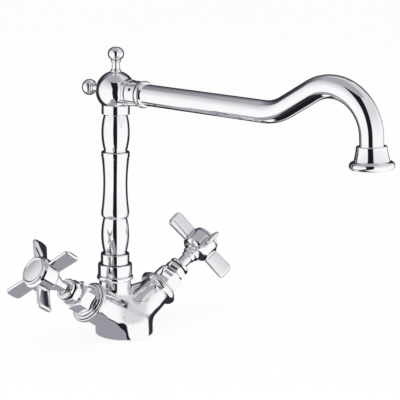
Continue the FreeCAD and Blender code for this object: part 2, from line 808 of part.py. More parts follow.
# Two rubber rings round the stub, which seal it in the body's neck.
for word, height in (("lower", seal_low), ("upper", seal_high)):
    half = d.column_seal_section / 2
    seal = ring("ColumnSeal" + word.capitalize(), column_seal_floor,
                d.column_bore_radius - d.seal_clearance, height - half, height + half)
    keep(place(seal, column_way), "column_seal_" + word)

# Ball head: a sphere on a collar, with a boss for the spout and sockets for two finials.
meet = d.head_height - root(d.head_radius * d.head_radius - d.collar_high_radius * d.collar_high_radius)
ball = turned("HeadBall", [
    (0, d.collar_bottom),
    (d.collar_high_radius - d.edge_break, d.collar_bottom),
    (d.collar_high_radius, d.collar_bottom + d.edge_break),
    (d.collar_high_radius, meet, d.head_radius),
    (0, d.head_height + d.head_radius),
])
place(ball, column_way)
boss = rod("Boss", d.boss_radius, d.boss_end)
place(boss, spout_way)
thread_top = d.collar_bottom + d.head_thread_length + d.thread_relief
stem_hole = turned("StemHole", [
    (0, d.collar_bottom - d.overrun),
    (d.head_thread_radius, d.collar_bottom - d.overrun),
    (d.head_thread_radius, thread_top),
    (d.head_bore, thread_top),
    (d.head_bore, d.head_height + d.head_bore),
    (0, d.head_height + d.head_bore),
])
place(stem_hole, column_way)
spigot_start = d.boss_end - d.connector_spigot_length
spout_hole = turned("SpoutHole", [
    (0, 0),
    (d.head_bore, 0),
    (d.head_bore, spigot_start - d.thread_relief),
    (d.head_thread_radius, spigot_start - d.thread_relief),
    (d.head_thread_radius, d.boss_end + d.overrun),
    (0, d.boss_end + d.overrun),
])
place(spout_hole, spout_way)
sockets = []
for name, way in (("TopSocket", head_way), ("RearSocket", rear_way)):
    socket = turned(name, [
        (0, d.finial_stud_start),
        (d.finial_stud_radius, d.finial_stud_start),
        (d.finial_stud_radius, d.finial_seat),
        (d.finial_foot_radius, d.finial_seat),
        (d.finial_foot_radius, d.head_radius + d.overrun),
        (0, d.head_radius + d.overrun),
    ])
    sockets.append(place(socket, way))
head = cut("Head", fused("SolidHead", [ball, boss]), [stem_hole, spout_hole] + sockets)
keep(head, "head_ball")

# Two finials screwed into the ball: a waisted neck, a bead and a flattened ball.
foot_top = d.finial_seat + d.finial_foot_height
flare_arc = tangent_radius(d.finial_foot_radius - d.finial_neck_radius, d.finial_neck_start - foot_top)
bead_edge = d.finial_bead_radius - crown_rise(d.finial_bead_crown, d.finial_bead_length)
low_arc = tangent_radius(d.finial_ball_radius - d.finial_ball_seat_radius,
                         d.finial_ball_middle - d.finial_bead_end)
high_arc = tangent_radius(d.finial_ball_radius - d.finial_crown_flat,
                          d.finial_ball_top - d.finial_ball_middle)
for word, way in (("top", head_way), ("rear", rear_way)):
    finial = turned(word.capitalize() + "Finial", [
        (0, d.finial_stud_start),
        (d.finial_stud_radius, d.finial_stud_start),
        (d.finial_stud_radius, d.finial_seat),
        (d.finial_foot_radius, d.finial_seat),
        (d.finial_foot_radius, foot_top, flare_arc, "hollow"),
        (d.finial_neck_radius, d.finial_neck_start),
        (d.finial_neck_radius, d.finial_neck_end),
        (bead_edge, d.finial_neck_end, d.finial_bead_crown),
        (bead_edge, d.finial_bead_end),
        (d.finial_ball_seat_radius, d.finial_bead_end, low_arc),
        (d.finial_ball_radius, d.finial_ball_middle, high_arc),
        (d.finial_crown_flat, d.finial_ball_top),
        (0, d.finial_ball_top),
    ])
    keep(place(finial, way), word + "_finial")

# Connector screwed into the boss: a ring, a sleeve with a grub screw, and a bead.
ring_foot = d.boss_end
groove = d.connector_groove_width
bead_arc = arc_radius(d.bead_length, d.bead_swell)
connector_blank = turned("ConnectorBlank", [
    (d.head_bore, spigot_start),
    (d.head_thread_radius, spigot_start),
    (d.head_thread_radius, ring_foot),
    (d.connector_ring_radius - d.edge_break, ring_foot),
    (d.connector_ring_radius, ring_foot + d.edge_break),
    (d.connector_ring_radius, d.connector_ring_end - d.edge_break),
    (d.connector_ring_radius - d.edge_break, d.connector_ring_end),
    (d.connector_groove_radius, d.connector_ring_end),
    (d.connector_groove_radius, d.connector_ring_end + groove),
    (d.sleeve_radius, d.connector_ring_end + groove),
    (d.sleeve_radius, d.sleeve_end),
    (d.connector_groove_radius, d.sleeve_end),
    (d.connector_groove_radius, d.bead_start),
    (d.bead_start_radius, d.bead_start, bead_arc),
    (d.bead_start_radius, d.bead_end),
    (d.tube_radius, d.bead_end),
    (d.tube_radius, d.socket_floor),
    (d.head_bore, d.socket_floor),
])
grub_way = step(z=d.grub_distance, yaw=2 * RIGHT_ANGLE - d.grub_angle, pitch=RIGHT_ANGLE)
grub_hole = rod("GrubHole", d.grub_radius, d.sleeve_radius + d.overrun)
place(grub_hole, grub_way)
connector = cut("Connector", connector_blank, [grub_hole])
keep(place(connector, spout_way), "spout_connector")

# Flat seal at the bottom of the connector's socket, under the end of the tube.
spout_washer = ring("SpoutWasher", d.head_bore, d.tube_radius, d.socket_floor,
                    d.socket_floor + d.spout_washer_thickness)
keep(place(spout_washer, spout_way), "spout_washer")

# Grub screw in the sleeve, which locks the tube; it has a hexagon key socket.
grub_length = d.sleeve_radius - d.grub_sink - d.tube_radius
grub_blank = rod("GrubBlank", d.grub_radius, grub_length)
grub_key = doc.addObject("Part::Prism", "GrubKey")
grub_key.Polygon = HEX_SIDES
grub_key.setExpression("Circumradius", d.grub_key_radius.text)
grub_key.setExpression("Height", (d.grub_key_depth + d.overrun).text)
place(grub_key, step(z=grub_length - d.grub_key_depth))
grub = cut("GrubScrew", grub_blank, [grub_key])
keep(place(grub, spout_way, grub_way, step(z=d.tube_radius)), "grub_screw")

# Spout tube: a level run, a bend up, a slope, a high bend over and a short drop.
tube_start = d.socket_floor + d.spout_washer_thickness
run = d.run_length - tube_start
rise_end = (run + d.low_bend_radius * sine(d.rise_angle),
            d.low_bend_radius * (1 - cosine(d.rise_angle)))
slope_end = (rise_end[0] + d.slope_length * cosine(d.rise_angle),
             rise_end[1] + d.slope_length * sine(d.rise_angle))
peak_end = (slope_end[0] + d.high_bend_radius * sine(d.rise_angle),
            slope_end[1] + d.high_bend_radius * (1 - cosine(d.rise_angle)))
bend_end = (peak_end[0] + d.high_bend_radius * sine(d.drop_angle),
            peak_end[1] - d.high_bend_radius * (1 - cosine(d.drop_angle)))
tail_end = (bend_end[0] + d.tail_length * cosine(d.drop_angle),
            bend_end[1] - d.tail_length * sine(d.drop_angle))
tube = doc.addObject("PartDesign::Body", "SpoutTube")
path = new_sketch(tube, "SpoutPath", "YZ_Plane")
trace(path, [
    (0, 0),
    (-run, 0, d.low_bend_radius, "hollow"),
    (-rise_end[0], rise_end[1]),
    (-slope_end[0], slope_end[1], d.high_bend_radius),
    (-peak_end[0], peak_end[1], d.high_bend_radius),
    (-bend_end[0], bend_end[1]),
    (-tail_end[0], tail_end[1]),
], closed=False)
section = new_sketch(tube, "SpoutSection", "XZ_Plane")
for radius in (d.tube_radius, d.tube_radius - d.tube_wall):
    index = section.addGeometry(
        Part.Circle(FreeCAD.Vector(0, 0, 0), FreeCAD.Vector(0, 0, 1), radius.value), False)
    section.addConstraint(Sketcher.Constraint("Coincident", index, 3, -1, 1))
    tie(section, "Radius", (index,), radius)
doc.recompute()
pipe = tube.newObject("PartDesign::AdditivePipe", "SpoutPipe")
pipe.Profile = section
pipe.Spine = (path, ["Edge%d" % (i + 1) for i in range(6)])
tube.Tip = pipe
keep(place(tube, head_way, step(y=-tube_start)), "spout_tube")

# Bell nozzle on the end of the tube, with a rounded rim and a pocket for the aerator.
flow_way = (head_way, step(y=-(tube_start + bend_end[0]), z=bend_end[1], roll=RIGHT_ANGLE + d.drop_angle))
rim_edge = d.rim_radius - crown_rise(d.rim_crown, d.rim_end - d.bell_flare_end)
flare_chord = root((d.bell_flare_end - d.bell_straight_end) * (d.bell_flare_end - d.bell_straight_end)
                   + (d.bell_flare_radius - d.bell_shoulder_radius)
                   * (d.bell_flare_radius - d.bell_shoulder_radius))
bore = d.tube_radius - d.tube_wall
bell = turned("NozzleBell", [
    (d.tube_radius, d.bell_start),
    (d.tube_radius, d.tail_length),
    (bore, d.tail_length),
    (bore, d.aerator_pocket_start),
    (d.aerator_radius, d.aerator_pocket_start),
    (d.aerator_radius, d.rim_end),
    (rim_edge, d.rim_end, d.rim_crown, "hollow"),
    (rim_edge, d.bell_flare_end),
    (d.bell_flare_radius, d.bell_flare_end, arc_radius(flare_chord, d.bell_flare_sink)),
    (d.bell_shoulder_radius, d.bell_straight_end),
    (d.bell_shoulder_radius, d.bell_start + d.edge_break),
    (d.bell_shoulder_radius - d.edge_break, d.bell_start),
])
keep(place(bell, *flow_way), "nozzle_bell")

# Aerator in the bell's pocket: a rubber gasket, a moulded cage and a slotted screen.
gasket_end = d.aerator_pocket_start + d.aerator_gasket_thickness
gasket = ring("AeratorGasket", bore, d.aerator_radius, d.aerator_pocket_start, gasket_end)
keep(place(gasket, *flow_way), "aerator_gasket")
cage_end = d.rim_end - d.aerator_set_back
cage_bore = d.aerator_radius - d.aerator_wall
cage = turned("AeratorCage", [
    (0, gasket_end),
    (d.aerator_radius, gasket_end),
    (d.aerator_radius, cage_end),
    (cage_bore, cage_end),
    (cage_bore, gasket_end + d.aerator_plate),
    (0, gasket_end + d.aerator_plate),
])
jets = new_sketch(cage, "AeratorJets", "XY_Plane")
jets.setExpression("AttachmentOffset.Base.z", (gasket_end - d.overrun).text)
index = jets.addGeometry(Part.Circle(FreeCAD.Vector(d.aerator_hole_circle.value, 0, 0),
                                     FreeCAD.Vector(0, 0, 1), d.aerator_hole_radius.value), False)
pin_point(jets, index, 3, d.aerator_hole_circle, 0)
tie(jets, "Radius", (index,), d.aerator_hole_radius)
doc.recompute()
jet = cage.newObject("PartDesign::Pocket", "AeratorJet")
jet.Profile = jets
jet.setExpression("Length", (d.aerator_plate + 2 * d.overrun).text)
jet.Reversed = True
around(cage, jet, AERATOR_HOLES)
keep(place(cage, *flow_way), "aerator_cage")
screen_end = cage_end - d.screen_lift
screen = turned("AeratorScreen", [
    (0, screen_end - d.screen_thickness),
    (cage_bore, screen_end - d.screen_thickness),
    (cage_bore, screen_end),
    (0, screen_end),
])
slots = new_sketch(screen, "ScreenSlots", "XY_Plane")
slots.setExpression("AttachmentOffset.Base.z", (screen_end - d.screen_thickness - d.overrun).text)
half = d.screen_slot_width / 2
trace(slots, [
    (d.screen_slot_start, -half),
    (d.screen_slot_end, -half),
    (d.screen_slot_end, half),
    (d.screen_slot_start, half),
])
doc.recompute()
slot = screen.newObject("PartDesign::Pocket", "ScreenSlot")
slot.Profile = slots
slot.setExpression("Length", (d.screen_thickness + 2 * d.overrun).text)
slot.Reversed = True
around(screen, slot, SCREEN_SLOTS)
keep(place(screen, *flow_way), "aerator_screen")

# Valve sizes that both sides share.
spindle_bore = d.spindle_radius + d.spindle_clearance
packing_end = d.packing_start + d.packing_thickness
moving_low = d.driver_start - d.disc_thickness
fixed_top = moving_low - d.disc_gap
fixed_low = fixed_top - d.disc_thickness
stem_floor = d.spindle_radius - d.stem_seal_depth
stem_half = (d.stem_seal_section + d.stem_groove_slack) / 2
paddle_low = d.paddle_middle - d.paddle_root_width / 2
paddle_high = d.paddle_middle + d.paddle_root_width / 2
tip_low = d.paddle_middle - d.paddle_tip_width / 2
tip_high = d.paddle_middle + d.paddle_tip_width / 2
cap_face = d.hub_front + d.cap_rim

for side in ("hot", "cold"):
    title = side.capitalize()
    way = arm_ways[side]
    spin = step(yaw=d.hot_rest_angle if side == "hot" else d.cold_rest_angle)

    # Flange: a rounded cover ring clamped between the arm's end and the bonnet.
    back_arc = tangent_radius(d.flange_radius - d.flange_back_radius, d.flange_widest - d.arm_length)
    front_arc = tangent_radius(d.flange_radius - d.flange_front_radius, d.flange_front - d.flange_widest)
    flange_bore = d.bonnet_thread_radius + d.flange_clearance
    flange = turned(title + "Flange", [
        (flange_bore, d.arm_length),
        (d.flange_back_radius, d.arm_length, back_arc),
        (d.flange_radius, d.flange_widest, front_arc),
        (d.flange_front_radius, d.flange_front),
        (d.flange_step_radius, d.flange_front),
        (d.flange_step_radius, d.flange_end - d.edge_break),
        (d.flange_step_radius - d.edge_break, d.flange_end),
        (flange_bore, d.flange_end),
    ])
    keep(place(flange, way), side + "_flange")

    # Bonnet: a hexagon over a threaded shank that holds the ceramic discs.
    shank = turned(title + "Shank", [
        (0, d.bonnet_start),
        (d.bonnet_relief_radius, d.bonnet_start),
        (d.bonnet_relief_radius, d.bonnet_relief_end),
        (d.bonnet_thread_radius, d.bonnet_relief_end),
        (d.bonnet_thread_radius, d.flange_end + d.hex_chamfer),
        (0, d.flange_end + d.hex_chamfer),
    ])
    bonnet_hex = hexagon(title + "Bonnet", d.bonnet_across, d.flange_end, d.bonnet_end)
    bonnet_bore = turned(title + "BonnetBore", [
        (0, d.bonnet_start - d.overrun),
        (d.cartridge_radius, d.bonnet_start - d.overrun),
        (d.cartridge_radius, d.cartridge_top),
        (spindle_bore, d.cartridge_top),
        (spindle_bore, d.packing_start),
        (d.gland_thread_radius, d.packing_start),
        (d.gland_thread_radius, d.bonnet_end + d.overrun),
        (0, d.bonnet_end + d.overrun),
    ])
    bonnet = cut(title + "BonnetBody", fused(title + "BonnetSolid", [shank, bonnet_hex]), [bonnet_bore])
    keep(place(bonnet, way), side + "_bonnet")

    # Packing ring round the spindle, and the gland nut that presses it.
    packing = ring(title + "Packing", spindle_bore, d.gland_thread_radius, d.packing_start, packing_end)
    keep(place(packing, way), side + "_packing")
    gland_reach = d.bonnet_end + d.hex_chamfer - packing_end
    gland_spigot = rod(title + "GlandSpigot", d.gland_thread_radius, gland_reach)
    place(gland_spigot, step(z=packing_end))
    gland_hex = hexagon(title + "Gland", d.gland_across, d.bonnet_end, d.gland_end)
    gland_bore = rod(title + "GlandBore", spindle_bore, d.gland_end - packing_end + 2 * d.overrun)
    place(gland_bore, step(z=packing_end - d.overrun))
    gland = cut(title + "GlandNut", fused(title + "GlandSolid", [gland_spigot, gland_hex]), [gland_bore])
    keep(place(gland, way), side + "_gland")

    # Rubber seat seal, fixed ceramic disc and thrust washer, which stay with the bonnet.
    seat_seal = ring(title + "SeatSeal", d.seat_bore_radius, d.cartridge_radius, d.seat_distance, fixed_low)
    keep(place(seat_seal, way), side + "_seat_seal")
    for word, low, high, radius in (
        ("fixed", fixed_low, fixed_top, d.cartridge_radius),
        ("moving", moving_low, d.driver_start, d.driver_radius),
    ):
        outline = [(0, low), (radius, low), (radius, high), (0, high)]
        disc = turned(title + word.capitalize() + "Disc", outline)
        ports = new_sketch(disc, title + word.capitalize() + "Ports", "XY_Plane")
        ports.setExpression("AttachmentOffset.Base.z", (low - d.overrun).text)
        index = ports.addGeometry(Part.Circle(FreeCAD.Vector(d.disc_port_circle.value, 0, 0),
                                              FreeCAD.Vector(0, 0, 1), d.disc_port_radius.value), False)
        pin_point(ports, index, 3, d.disc_port_circle, 0)
        tie(ports, "Radius", (index,), d.disc_port_radius)
        doc.recompute()
        port_hole = disc.newObject("PartDesign::Pocket", title + word.capitalize() + "Port")
        port_hole.Profile = ports
        port_hole.setExpression("Length", (high - low + 2 * d.overrun).text)
        port_hole.Reversed = True
        around(disc, port_hole, DISC_PORTS)
        quarter = step(yaw=RIGHT_ANGLE if word == "moving" else 0)
        keep(place(disc, way, quarter), side + "_" + word + "_disc")
    thrust = ring(title + "Thrust", d.spindle_radius + d.washer_clearance, d.cartridge_radius,
                  d.thrust_low, d.cartridge_top)
    keep(place(thrust, way), side + "_thrust_washer")

    # Spindle: a driver at the bottom, two seal grooves, and a splined end in the handle.
    stem_low = d.stem_seal_low_distance
    stem_high = d.stem_seal_high_distance
    spindle = turned(title + "Spindle", [
        (0, d.driver_start),
        (d.driver_radius, d.driver_start),
        (d.driver_radius, d.driver_end),
        (d.spindle_radius, d.driver_end),
        (d.spindle_radius, stem_low - stem_half),
        (stem_floor, stem_low - stem_half),
        (stem_floor, stem_low + stem_half),
        (d.spindle_radius, stem_low + stem_half),
        (d.spindle_radius, stem_high - stem_half),
        (stem_floor, stem_high - stem_half),
        (stem_floor, stem_high + stem_half),
        (d.spindle_radius, stem_high + stem_half),
        (d.spindle_radius, d.spline_start),
        (d.spline_radius, d.spline_start),
        (d.spline_radius, d.spline_end),
        (d.screw_radius, d.spline_end),
        (d.screw_radius, d.screw_tip - d.thread_relief),
        (0, d.screw_tip - d.thread_relief),
    ])
    keep(place(spindle, way), side + "_spindle")
    for word, distance in (("lower", stem_low), ("upper", stem_high)):
        half = d.stem_seal_section / 2
        stem_seal = ring(title + "StemSeal" + word.capitalize(), stem_floor,
                         spindle_bore - d.seal_clearance, distance - half, distance + half)
        keep(place(stem_seal, way), side + "_stem_seal_" + word)

    # Cross handle: a bell-shaped hub with four flat paddles, bored for spindle, screw and cap.
    handle = turned(title + "Handle", [
        (0, d.hub_start),
        (d.hub_neck_radius - d.edge_break, d.hub_start),
        (d.hub_neck_radius, d.hub_start + d.edge_break),
        (d.hub_neck_radius, d.hub_neck_end),
        (d.hub_radius, d.hub_cone_end),
        (d.hub_radius, d.hub_barrel_end),
        (d.hub_front_radius, d.hub_front),
        (0, d.hub_front),
    ])
    blade = new_sketch(handle, title + "Blade", "XZ_Plane")
    corner = d.paddle_corner
    trace(blade, [
        (d.paddle_root, paddle_low),
        (d.paddle_tip - corner, tip_low, corner),
        (d.paddle_tip, tip_low + corner),
        (d.paddle_tip, tip_high - corner, corner),
        (d.paddle_tip - corner, tip_high),
        (d.paddle_root, paddle_high),
    ])
    doc.recompute()
    paddle = handle.newObject("PartDesign::Pad", title + "Paddle")
    paddle.Profile = blade
    paddle.setExpression("Length", d.paddle_thickness.text)
    paddle.Midplane = True
    around(handle, paddle, PADDLES)
    doc.recompute()
    bores = new_sketch(handle, title + "HandleBores", "XZ_Plane")
    sleeve = d.spindle_radius + d.hub_counterbore_clearance
    screw_hole = d.screw_radius + d.screw_clearance
    trace(bores, [
        (0, d.hub_start - d.overrun),
        (sleeve, d.hub_start - d.overrun),
        (sleeve, d.spline_start),
        (d.spline_radius, d.spline_start),
        (d.spline_radius, d.spline_end),
        (screw_hole, d.spline_end),
        (screw_hole, d.screw_head_seat),
        (d.screw_pocket_radius, d.screw_head_seat),
        (d.screw_pocket_radius, d.cap_recess_start),
        (d.cap_spigot_radius, d.cap_recess_start),
        (d.cap_spigot_radius, d.hub_front + d.overrun),
        (0, d.hub_front + d.overrun),
    ])
    doc.recompute()
    before = handle.Shape.Volume
    boring = handle.newObject("PartDesign::Groove", title + "Boring")
    boring.Profile = bores
    boring.ReferenceAxis = (bores, ["V_Axis"])
    boring.Angle = FULL_TURN
    handle.Tip = boring
    doc.recompute()
    if handle.Shape.Volume >= before:
        raise RuntimeError("the handle's bores cut nothing")
    keep(place(handle, way, spin), side + "_handle")

    # Screw through the hub into the spindle, with a hexagon key socket.
    screw_top = d.screw_head_seat + d.screw_head_height
    screw_blank = turned(title + "ScrewBlank", [
        (0, d.screw_tip),
        (d.screw_radius, d.screw_tip),
        (d.screw_radius, d.screw_head_seat),
        (d.screw_head_radius, d.screw_head_seat),
        (d.screw_head_radius, screw_top),
        (0, screw_top),
    ])
    key = doc.addObject("Part::Prism", title + "ScrewKey")
    key.Polygon = HEX_SIDES
    key.setExpression("Circumradius", d.screw_key_radius.text)
    key.setExpression("Height", (d.screw_key_depth + d.overrun).text)
    place(key, step(z=screw_top - d.screw_key_depth))
    screw = cut(title + "Screw", screw_blank, [key])
    keep(place(screw, way), side + "_screw")

    # Index cap pressed into the hub's recess, with a shallow domed face.
    cap = turned(title + "Cap", [
        (0, d.cap_recess_start),
        (d.cap_spigot_radius, d.cap_recess_start),
        (d.cap_spigot_radius, d.hub_front),
        (d.cap_radius, d.hub_front),
        (d.cap_radius, cap_face, tangent_radius(d.cap_end - cap_face, d.cap_radius - d.cap_face_radius)),
        (d.cap_face_radius, d.cap_end),
        (0, d.cap_end),
    ])
    keep(place(cap, way, spin), side + "_cap")

doc.recompute()
for thing in doc.Objects:
    for word in thing.State:
        if word in ("Invalid", "Error"):
            raise RuntimeError("%s failed" % thing.Label)
for piece in pieces:
    shape = piece.Shape
    if shape.isNull() or not shape.isValid() or len(shape.Solids) != 1:
        raise RuntimeError("%s is not one sound solid" % piece.Label)

os.makedirs("parts", exist_ok=True)
for piece in pieces:
    piece.Shape.exportStep("parts/%s.step" % piece.Label)
print("%d sub-parts" % len(pieces))
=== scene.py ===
import math
import bpy
from mathutils import Matrix, Vector


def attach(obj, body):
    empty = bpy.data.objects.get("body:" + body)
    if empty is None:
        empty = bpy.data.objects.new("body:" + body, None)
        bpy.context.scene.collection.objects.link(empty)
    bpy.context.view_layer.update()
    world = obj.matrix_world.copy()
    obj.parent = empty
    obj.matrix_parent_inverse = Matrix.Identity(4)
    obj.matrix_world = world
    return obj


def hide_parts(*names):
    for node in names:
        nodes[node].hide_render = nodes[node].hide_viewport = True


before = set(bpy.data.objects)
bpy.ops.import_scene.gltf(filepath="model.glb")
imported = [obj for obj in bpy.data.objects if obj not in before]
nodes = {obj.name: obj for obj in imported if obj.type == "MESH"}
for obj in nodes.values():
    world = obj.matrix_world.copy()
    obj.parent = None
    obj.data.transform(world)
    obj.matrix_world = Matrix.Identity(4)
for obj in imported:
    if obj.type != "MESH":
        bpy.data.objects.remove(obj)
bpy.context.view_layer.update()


# Viewpoint: a long lens a little above the tap and to the left of its front, as for a catalogue
# picture. Place, direction and lens were fitted to the outlines of the tube, column and foot.
SENSOR_WIDTH = 36.0
LENS = 120.0
NEAREST = 0.05
FARTHEST = 50.0
camera_right = Vector((0.76801, -0.64021, 0.01772))
camera_up = Vector((0.12598, 0.17814, 0.97591))
camera_back = Vector((-0.62793, -0.74727, 0.21746))
camera_place = Vector((-0.6658, -0.8920, 0.3676))
camera_data = bpy.data.cameras.new("viewpoint")
camera_data.sensor_width = SENSOR_WIDTH
camera_data.lens = LENS
camera_data.clip_start = NEAREST
camera_data.clip_end = FARTHEST
camera = bpy.data.objects.new("viewpoint", camera_data)
camera.matrix_world = Matrix((
    (*camera_right, 0.0),
    (*camera_up, 0.0),
    (*camera_back, 0.0),
    (*camera_place, 1.0),
)).transposed()
bpy.context.scene.collection.objects.link(camera)
bpy.context.scene.camera = camera
bpy.context.scene.view_settings.view_transform = "Standard"


# Studio floor and air: a wide sheet of pale board under the tap, and a white surround. What
# looks at them directly or in a reflection sees white, and the floor keeps a faint shadow.
FLOOR_WIDTH = 30.0
FLOOR_GLOW = 0.88
BOARD_GRAIN = 40.0
BOARD_DARK = 0.88
BOARD_LIGHT = 0.92
AIR_LIGHT = 0.9
AIR_SEEN = 1.0
WHITE = (1.0, 1.0, 1.0, 1.0)


def fresh_material(name):
    """New material with an empty node tree."""
    material = bpy.data.materials.new(name)
    material.use_nodes = True
    material.node_tree.nodes.clear()
    return material


def feed(tree, value, socket):
    """Links what another node gives to a socket, or sets the socket to a plain number or colour."""
    if isinstance(value, bpy.types.NodeSocket):
        tree.links.new(value, socket)
    else:
        socket.default_value = value


def combined(tree, operation, *values):
    """Values put together by one sum."""
    node = tree.nodes.new("ShaderNodeMath")
    node.operation = operation
    for value, socket in zip(values, node.inputs):
        feed(tree, value, socket)
    return node.outputs[0]


def ramp(tree, value, start, end, first, last):
    """Value that goes evenly from first to last as the given value goes from start to end."""
    node = tree.nodes.new("ShaderNodeMapRange")
    node.inputs["From Min"].default_value = start
    node.inputs["From Max"].default_value = end
    node.inputs["To Min"].default_value = first
    node.inputs["To Max"].default_value = last
    tree.links.new(value, node.inputs["Value"])
    return node.outputs["Result"]


def seen_directly(tree):
    """Value that is 1 for looks straight, in a mirror or through glass, and 0 for scattered light."""
    path = tree.nodes.new("ShaderNodeLightPath").outputs
    mirrored = combined(tree, "MAXIMUM", path["Is Camera Ray"], path["Is Glossy Ray"])
    return combined(tree, "MAXIMUM", mirrored, path["Is Transmission Ray"])


def two_sided(tree, mask, scattered, seen):
    """Shader that gives its light as the first and is seen as the second, where the mask is 1."""
    mixed = tree.nodes.new("ShaderNodeMixShader")
    tree.links.new(mask, mixed.inputs["Fac"])
    tree.links.new(scattered.outputs[0], mixed.inputs[1])
    tree.links.new(seen.outputs[0], mixed.inputs[2])
    return mixed


def finished(tree, shader, kind="ShaderNodeOutputMaterial"):
    """Joins a shader to the output of its tree."""
    output = tree.nodes.new(kind)
    tree.links.new(shader.outputs[0], output.inputs["Surface"])


bpy.ops.object.select_all(action="DESELECT")
bpy.ops.mesh.primitive_plane_add(size=FLOOR_WIDTH, location=(0.0, 0.0, 0.0))
floor = bpy.context.object
floor.name = "studio_floor"
board = fresh_material("pale_board")
tree = board.node_tree
grain = tree.nodes.new("ShaderNodeTexNoise")
grain.inputs["Scale"].default_value = BOARD_GRAIN
paper = tree.nodes.new("ShaderNodeBsdfDiffuse")
tree.links.new(ramp(tree, grain.outputs["Fac"], 0.0, 1.0, BOARD_DARK, BOARD_LIGHT), paper.inputs["Color"])
glow = tree.nodes.new("ShaderNodeEmission")
glow_share = combined(tree, "MULTIPLY", seen_directly(tree), FLOOR_GLOW)
finished(tree, two_sided(tree, glow_share, paper, glow))
floor.data.materials.append(board)

world = bpy.data.worlds.new("studio_air")
world.use_nodes = True
bpy.context.scene.world = world
tree = world.node_tree
tree.nodes.clear()
airs = []
for strength in (AIR_LIGHT, AIR_SEEN):
    air = tree.nodes.new("ShaderNodeBackground")
    air.inputs["Color"].default_value = WHITE
    air.inputs["Strength"].default_value = strength
    airs.append(air)
finished(tree, two_sided(tree, seen_directly(tree), *airs), "ShaderNodeOutputWorld")


# Overhead softbox: a square lamp behind white cloth, hung above the tap to the left of its front. It
# lights the floor and the dull pieces and gives the faint shadow; the plating doesn't mirror it.
LAMP_WIDTH = 1.2
LAMP_POWER = 9.0
LAMP_PLACE = (-0.7, -0.5, 1.6)
LAMP_AIM = (0.7, 0.5, -1.5)
lamp_data = bpy.data.lights.new("overhead_softbox", "AREA")
lamp_data.shape = "SQUARE"
lamp_data.size = LAMP_WIDTH
lamp_data.energy = LAMP_POWER
lamp = bpy.data.objects.new("overhead_softbox", lamp_data)
lamp.location = LAMP_PLACE
lamp.rotation_euler = Vector(LAMP_AIM).to_track_quat("-Z", "Y").to_euler()
lamp.visible_glossy = False
bpy.context.scene.collection.objects.link(lamp)


# Light tent: a round tent of white cloth that polished metal mirrors. Its glow is painted light, greying
# towards the roof as cloth lit from below would, with a black gap for the lens, dark cloth behind and
# painted floor shade round the foot and under the spout.
# Only reflections show it, so the floor and the picture's background stay plain.
TENT_RADIUS = 0.78
TENT_HEIGHT = 1.30
TENT_LIFT = 0.0015
TENT_SIDES = 96
BLACK = 0.012
BLUE_LIFT = 0.91
# Cloth: the two heights, or for the roof the two places across, between which its brightness changes,
# and its brightness at each.
LEFT_WALL = (0.25, 1.25, 1.0, 0.42)
RIGHT_WALL = (0.20, 0.60, 1.0, 0.72)
BACK_WALL = (0.60, 1.25, 0.03, 0.34)
ROOF = (0.15, 0.50, 0.41, 0.72)
CORNER_LIGHT = 0.64
# Painted shade: grey ground round the foot, standing for the floor that the tap shades.
FOOT_SHADE_LIGHT = 0.33
GROUND_LIGHT = 1.02
GROUND_BEHIND = 0.03
# Limits: two bearings in degrees, clockwise from the back as seen from above, or two distances, and
# how soft the edges are. A single edge has one limit and its softness.
RIGHT_SIDE = (90.0, -150.0, 4.0)
BACK_SIDE = (-31.0, 98.0, 9.0)
CORNER_SIDE = (80.0, 104.0, 6.0)
CORNER_FOOT = (0.76, 0.08)
GAP_LEFT = -157.0
GAP_TOP = (1.24, 0.03)
GAP_SOFT = 2.5
LINE_SOFT = 1.5
FOOT_SHADE_SIDE = (-150.0, 62.0, 4.0)
FOOT_SHADE_SOFT = 0.02
BEHIND_SIDE = (-31.0, 99.0, 5.0)
PATCH_SIDE = (86.0, -156.0, 4.0)
PATCH_REACH = (0.09, 0.26, 0.01)
PATCH_STEEP = (0.17, 0.05)
ROOF_EDGE = (TENT_HEIGHT - 0.01, 0.004)
WALL_FOOT = (0.006, 0.002)
# Slanting edges: the gap's right edge over the height and over the ground, and the painted foot shade's over
# the bearing.
GAP_RIGHT = (0.45, 1.25, -123.0, -94.0)
LINE_RIGHT = (0.06, 0.32, -149.0, -124.0)
FOOT_SHADE_EDGE = (-125.0, -85.0, 0.27, 0.135)
FOOT_FORWARD = 0.022


def above(tree, value, edge, soft):
    """Mask that is 1 where the value lies above the edge."""
    node = tree.nodes.new("ShaderNodeMapRange")
    node.interpolation_type = "SMOOTHSTEP"
    node.inputs["From Min"].default_value = -soft
    node.inputs["From Max"].default_value = soft
    tree.links.new(combined(tree, "SUBTRACT", value, edge), node.inputs["Value"])
    return node.outputs["Result"]


def below(tree, value, edge, soft):
    """Mask that is 1 where the value lies below the edge."""
    return combined(tree, "SUBTRACT", 1.0, above(tree, value, edge, soft))


def between(tree, value, low, high, soft):
    """Mask that is 1 from low to high, with soft edges."""
    return combined(tree, "SUBTRACT", above(tree, value, low, soft), above(tree, value, high, soft))


def round_front(tree, bearing, right, left, soft):
    """Mask that is 1 from a bearing on the right, round the front, to one on the left."""
    return combined(tree, "MAXIMUM", above(tree, bearing, right, soft), below(tree, bearing, left, soft))


def where_all(tree, mask, *others):
    """Mask that is 1 where all of these are."""
    for other in others:
        mask = combined(tree, "MULTIPLY", mask, other)
    return mask


def faded(tree, under, over, mask):
    """Brightness that turns from one to the other where the mask is 1."""
    blend = tree.nodes.new("ShaderNodeMix")
    blend.data_type = "FLOAT"
    tree.links.new(mask, blend.inputs["Factor"])
    feed(tree, under, blend.inputs["A"])
    feed(tree, over, blend.inputs["B"])
    return blend.outputs["Result"]


def bearing_from(tree, across, ahead):
    """Bearing of a place in degrees, clockwise from the back as seen from above."""
    return combined(tree, "DEGREES", combined(tree, "ARCTAN2", across, ahead))


